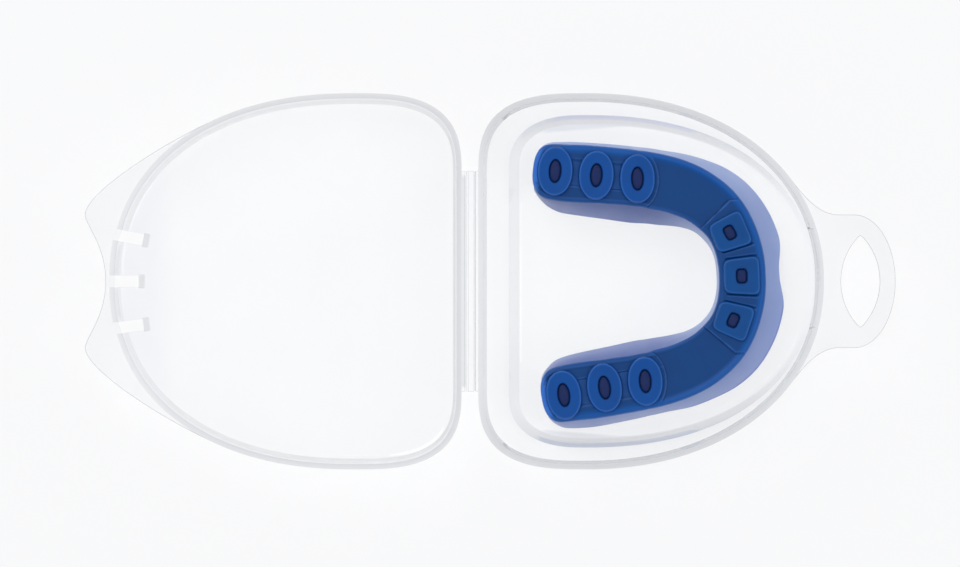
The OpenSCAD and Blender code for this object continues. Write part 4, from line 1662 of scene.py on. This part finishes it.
def rubber(name, body, light, highlight_share):
    """Blue rubber: its plain colour, and the colour of its painted edge highlights and how much of that
    shows.
    """
    finish = new_finish(name)
    dark = color(3, 44, 98)
    edge = finish.stored("edge_light")
    mottle = finish.noise(180.0, detail=3.0)
    grain = finish.noise(5200.0)
    tone = finish.mix_colors((mottle * 1.6 - 0.5).clamped() * 0.35, body, dark)
    # Painted light in the trough, against the pads' shade, and through the thin border and the arms'
    # ends; then a painted highlight on edges and painted shade in hollows.
    for share, other in (
        (finish.stored("trough"), color(24, 76, 142)),
        (finish.stored("thin_border_glow") * 0.75, color(0, 82, 162)),
        (finish.stored("arm_end") * 0.95, color(56, 116, 206)),
        ((edge * highlight_share).clamped(), light),
        ((edge * -0.7).clamped(), dark),
    ):
        tone = finish.mix_colors(share, tone, other)
    return finish.surface(finish.node("ShaderNodeBsdfPrincipled", {}, {
        "Base Color": tone,
        "Roughness": mottle * 0.15 + 0.36,
        "Specular IOR Level": 0.2,
        "Normal": finish.bump(0.12, 0.00004, grain),
    }))


frame_rubber = rubber("blue_rubber", color(8, 64, 124), color(50, 98, 172), 0.7)
pad_rubber = rubber("blue_pad_rubber", color(2, 73, 149), color(52, 104, 180), 0.6)
square_rubber = rubber("blue_square_rubber", color(2, 72, 138), color(44, 98, 170), 0.6)
frame_piece.data.materials.append(frame_rubber)
for piece in (pads_left, pads_right):
    piece.data.materials.append(pad_rubber)
pads_front.data.materials.append(square_rubber)

# %% [markdown]
# The liner is a soft translucent violet. Light enters it and comes out again nearby, so it gets some
# subsurface scattering. Its colour also carries painted shade. On the tongue sides it is deeper near
# the frame, a painted shadow under the frame's edge, and deeper on the arms, which face each other,
# most on the far arm; the front's tongue side is the palest. The outer side is painted lighter at the
# upper arm and darker at the lower one, with a painted dark line along its lower foot.

# %% Violet liner


def soft_liner(name):
    finish = new_finish(name)
    along, across, height = finish.parts("Object")
    # Painted shadow under the frame's edge, made uneven by the cloud.
    under_frame_shade = finish.past(height, GUARD_Z, PLATE_UNDER + GUARD_Z)
    cloud = finish.noise(90.0, detail=3.0)
    blend = (under_frame_shade + (cloud - 0.5) * 0.25).clamped()
    # A painted dark line along the foot of the lower side.
    foot = finish.past(height, GUARD_Z + 1.5, GUARD_Z + 0.7) * finish.past(across, 0, -8)
    outer = finish.mix_colors(blend, color(122, 144, 200), color(125, 147, 202))
    # The outer side painted lighter at the upper arm and darker at the lower one.
    outer = finish.mix_colors(finish.past(across, 15, 25), outer, color(138, 161, 214))
    outer = finish.mix_colors(finish.past(across, 2, -12), outer, color(117, 138, 194))
    outer = finish.mix_colors(foot * 0.6, outer, color(84, 100, 178))
    # The tongue sides painted darker on the arms than at the front, most on the far arm.
    far_arm = finish.mix_colors(blend, color(96, 118, 182), color(64, 88, 154))
    near_arm = finish.mix_colors(blend, color(116, 137, 197), color(72, 99, 170))
    arms = finish.mix_colors(finish.past(across, -5, 5), near_arm, far_arm)
    front = finish.mix_colors(blend, color(158, 178, 222), color(138, 158, 210))
    inner = finish.mix_colors(finish.past(along, -1, 13), arms, front)
    return finish.surface(finish.node("ShaderNodeBsdfPrincipled", {}, {
        "Base Color": finish.mix_colors(finish.stored("tongue_side"), outer, inner),
        "Roughness": cloud * 0.2 + 0.3,
        "Specular IOR Level": 0.3,
        "Subsurface Weight": 0.4,
        "Subsurface Radius": (0.6, 0.7, 1.0),
        "Subsurface Scale": 0.0015,
        "Normal": finish.bump(0.15, 0.0002, finish.noise(420.0)),
    }))


# %% Plugs of the liner


def plug_finish(name):
    finish = new_finish(name)
    cloud = finish.noise(700.0)
    return finish.surface(finish.node("ShaderNodeBsdfPrincipled", {}, {
        "Base Color": finish.mix_colors(cloud, color(12, 36, 84), color(26, 42, 96)),
        "Roughness": cloud * 0.2 + 0.35,
        "Specular IOR Level": 0.2,
    }))


liner.data.materials.append(soft_liner("violet_liner_gel"))
plugs.data.materials.append(plug_finish("violet_plug_gel"))

# %% What the pieces stand for
for piece, slot, nodes in (
    (frame_piece, "blue_frame", ["bite_frame"]),
    (pads_left, "blue_frame", ["molar_pads_left"]),
    (pads_right, "blue_frame", ["molar_pads_right"]),
    (pads_front, "blue_frame", ["incisor_pads"]),
    (plugs, "violet_liner", ["liner_plugs"]),
    (liner, "violet_liner", ["fit_liner"]),
):
    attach(piece, "mouthguard")
    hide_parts(*nodes)

# %% [markdown]
# ## Light table, lamps and camera
#
# Clear plastic shows best on a bright white table, where its walls draw themselves in grey. The floor
# here is white to the camera and to rays that have passed through the plastic, and an ordinary pale
# floor to all other light, and it keeps a faint shadow of the mouthguard. The room round it is a softer
# grey for reflections and for light that leaves a wall sideways.

# %% Floor and world


def table_finish(name):
    finish = new_finish(name)
    seen_by = ("Is Camera Ray", "Is Glossy Ray", "Is Transmission Ray")
    camera_ray, glossy_ray, through_ray = [
        finish.node("ShaderNodeLightPath", output=ray) for ray in seen_by
    ]
    seen = (camera_ray + glossy_ray + through_ray).clamped()
    pale = finish.node("ShaderNodeBsdfDiffuse", {}, {"Color": (0.85, 0.85, 0.86, 1.0)})
    glow = finish.node("ShaderNodeEmission", {}, {"Color": (0.8, 0.803, 0.808, 1.0), "Strength": 1.0})
    veil = finish.node("ShaderNodeBsdfDiffuse", {}, {"Color": (0.15, 0.15, 0.15, 1.0)})
    lit = finish.node("ShaderNodeAddShader", {}, {0: glow, 1: veil})
    return finish.surface(finish.node("ShaderNodeMixShader", {}, {0: seen, 1: pale, 2: lit}))


bm = bmesh.new()
bmesh.ops.create_grid(bm, x_segments=1, y_segments=1, size=2000)
bmesh.ops.translate(bm, vec=(0, 0, -0.15), verts=bm.verts[:])
table = finish_piece(bm, "light_table")
table.data.materials.append(table_finish("white_table"))
table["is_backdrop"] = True

sky = Finish(bpy.data.worlds.new("soft_room"), "ShaderNodeOutputWorld")
camera_ray = sky.node("ShaderNodeLightPath", output="Is Camera Ray")
through_ray = sky.node("ShaderNodeLightPath", output="Is Transmission Ray")
room = sky.node("ShaderNodeBackground", {}, {"Color": (0.7, 0.71, 0.73, 1.0)})
white = sky.node("ShaderNodeBackground", {}, {"Color": (0.95, 0.953, 0.958, 1.0)})
choice = {0: sky.larger(camera_ray, through_ray), 1: room, 2: white}
bpy.context.scene.world = sky.surface(sky.node("ShaderNodeMixShader", {}, choice))

# %% [markdown]
# Two large soft lamps add direction: a key from the upper left and a weaker one from the right.
# Together with the room they light an upward face at about level 1, where a colour renders as written.

# %% Lamps


def soft_lamp(name, place, side, power):
    light = bpy.data.lights.new(name, "AREA")
    light.size = side
    light.energy = power
    lamp = bpy.data.objects.new(name, light)
    bpy.context.scene.collection.objects.link(lamp)
    lamp.location = place
    lamp.rotation_mode = "QUATERNION"
    lamp.rotation_quaternion = (-Vector(place)).to_track_quat("-Z", "Y")


soft_lamp("key_lamp", (-0.35, 0.45, 0.7), 0.5, 2.2)
soft_lamp("fill_lamp", (0.5, -0.2, 0.6), 0.4, 0.9)

# %% [markdown]
# The camera looks straight down from four metres above the rims through a long lens, so that the walls
# hardly lean, with the mouthguard right of the middle.

# %% Camera
VIEW_WIDTH = 0.21333
SENSOR = 36.0
CAMERA_OVER_RIM = 4.0
CAMERA_OFF = (-0.00228, -0.00049)
middle = (cad_low + cad_high) / 2
camera_data = bpy.data.cameras.new("overhead_camera")
camera_data.sensor_width = SENSOR
camera_data.lens = SENSOR * CAMERA_OVER_RIM / VIEW_WIDTH
camera_data.clip_end = 20
camera = bpy.data.objects.new("overhead_camera", camera_data)
bpy.context.scene.collection.objects.link(camera)
camera.location = (middle.x + CAMERA_OFF[0], middle.y + CAMERA_OFF[1], RIM_Z * MM + CAMERA_OVER_RIM)
bpy.context.scene.camera = camera
print("camera over", [round(value * 1000, 2) for value in camera.location])

# %% Sizes and finish
seen_low, seen_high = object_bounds()
grown = (seen_high - seen_low) - (cad_high - cad_low)
print("grown by, in mm:", [round(side * 1000, 2) for side in grown])
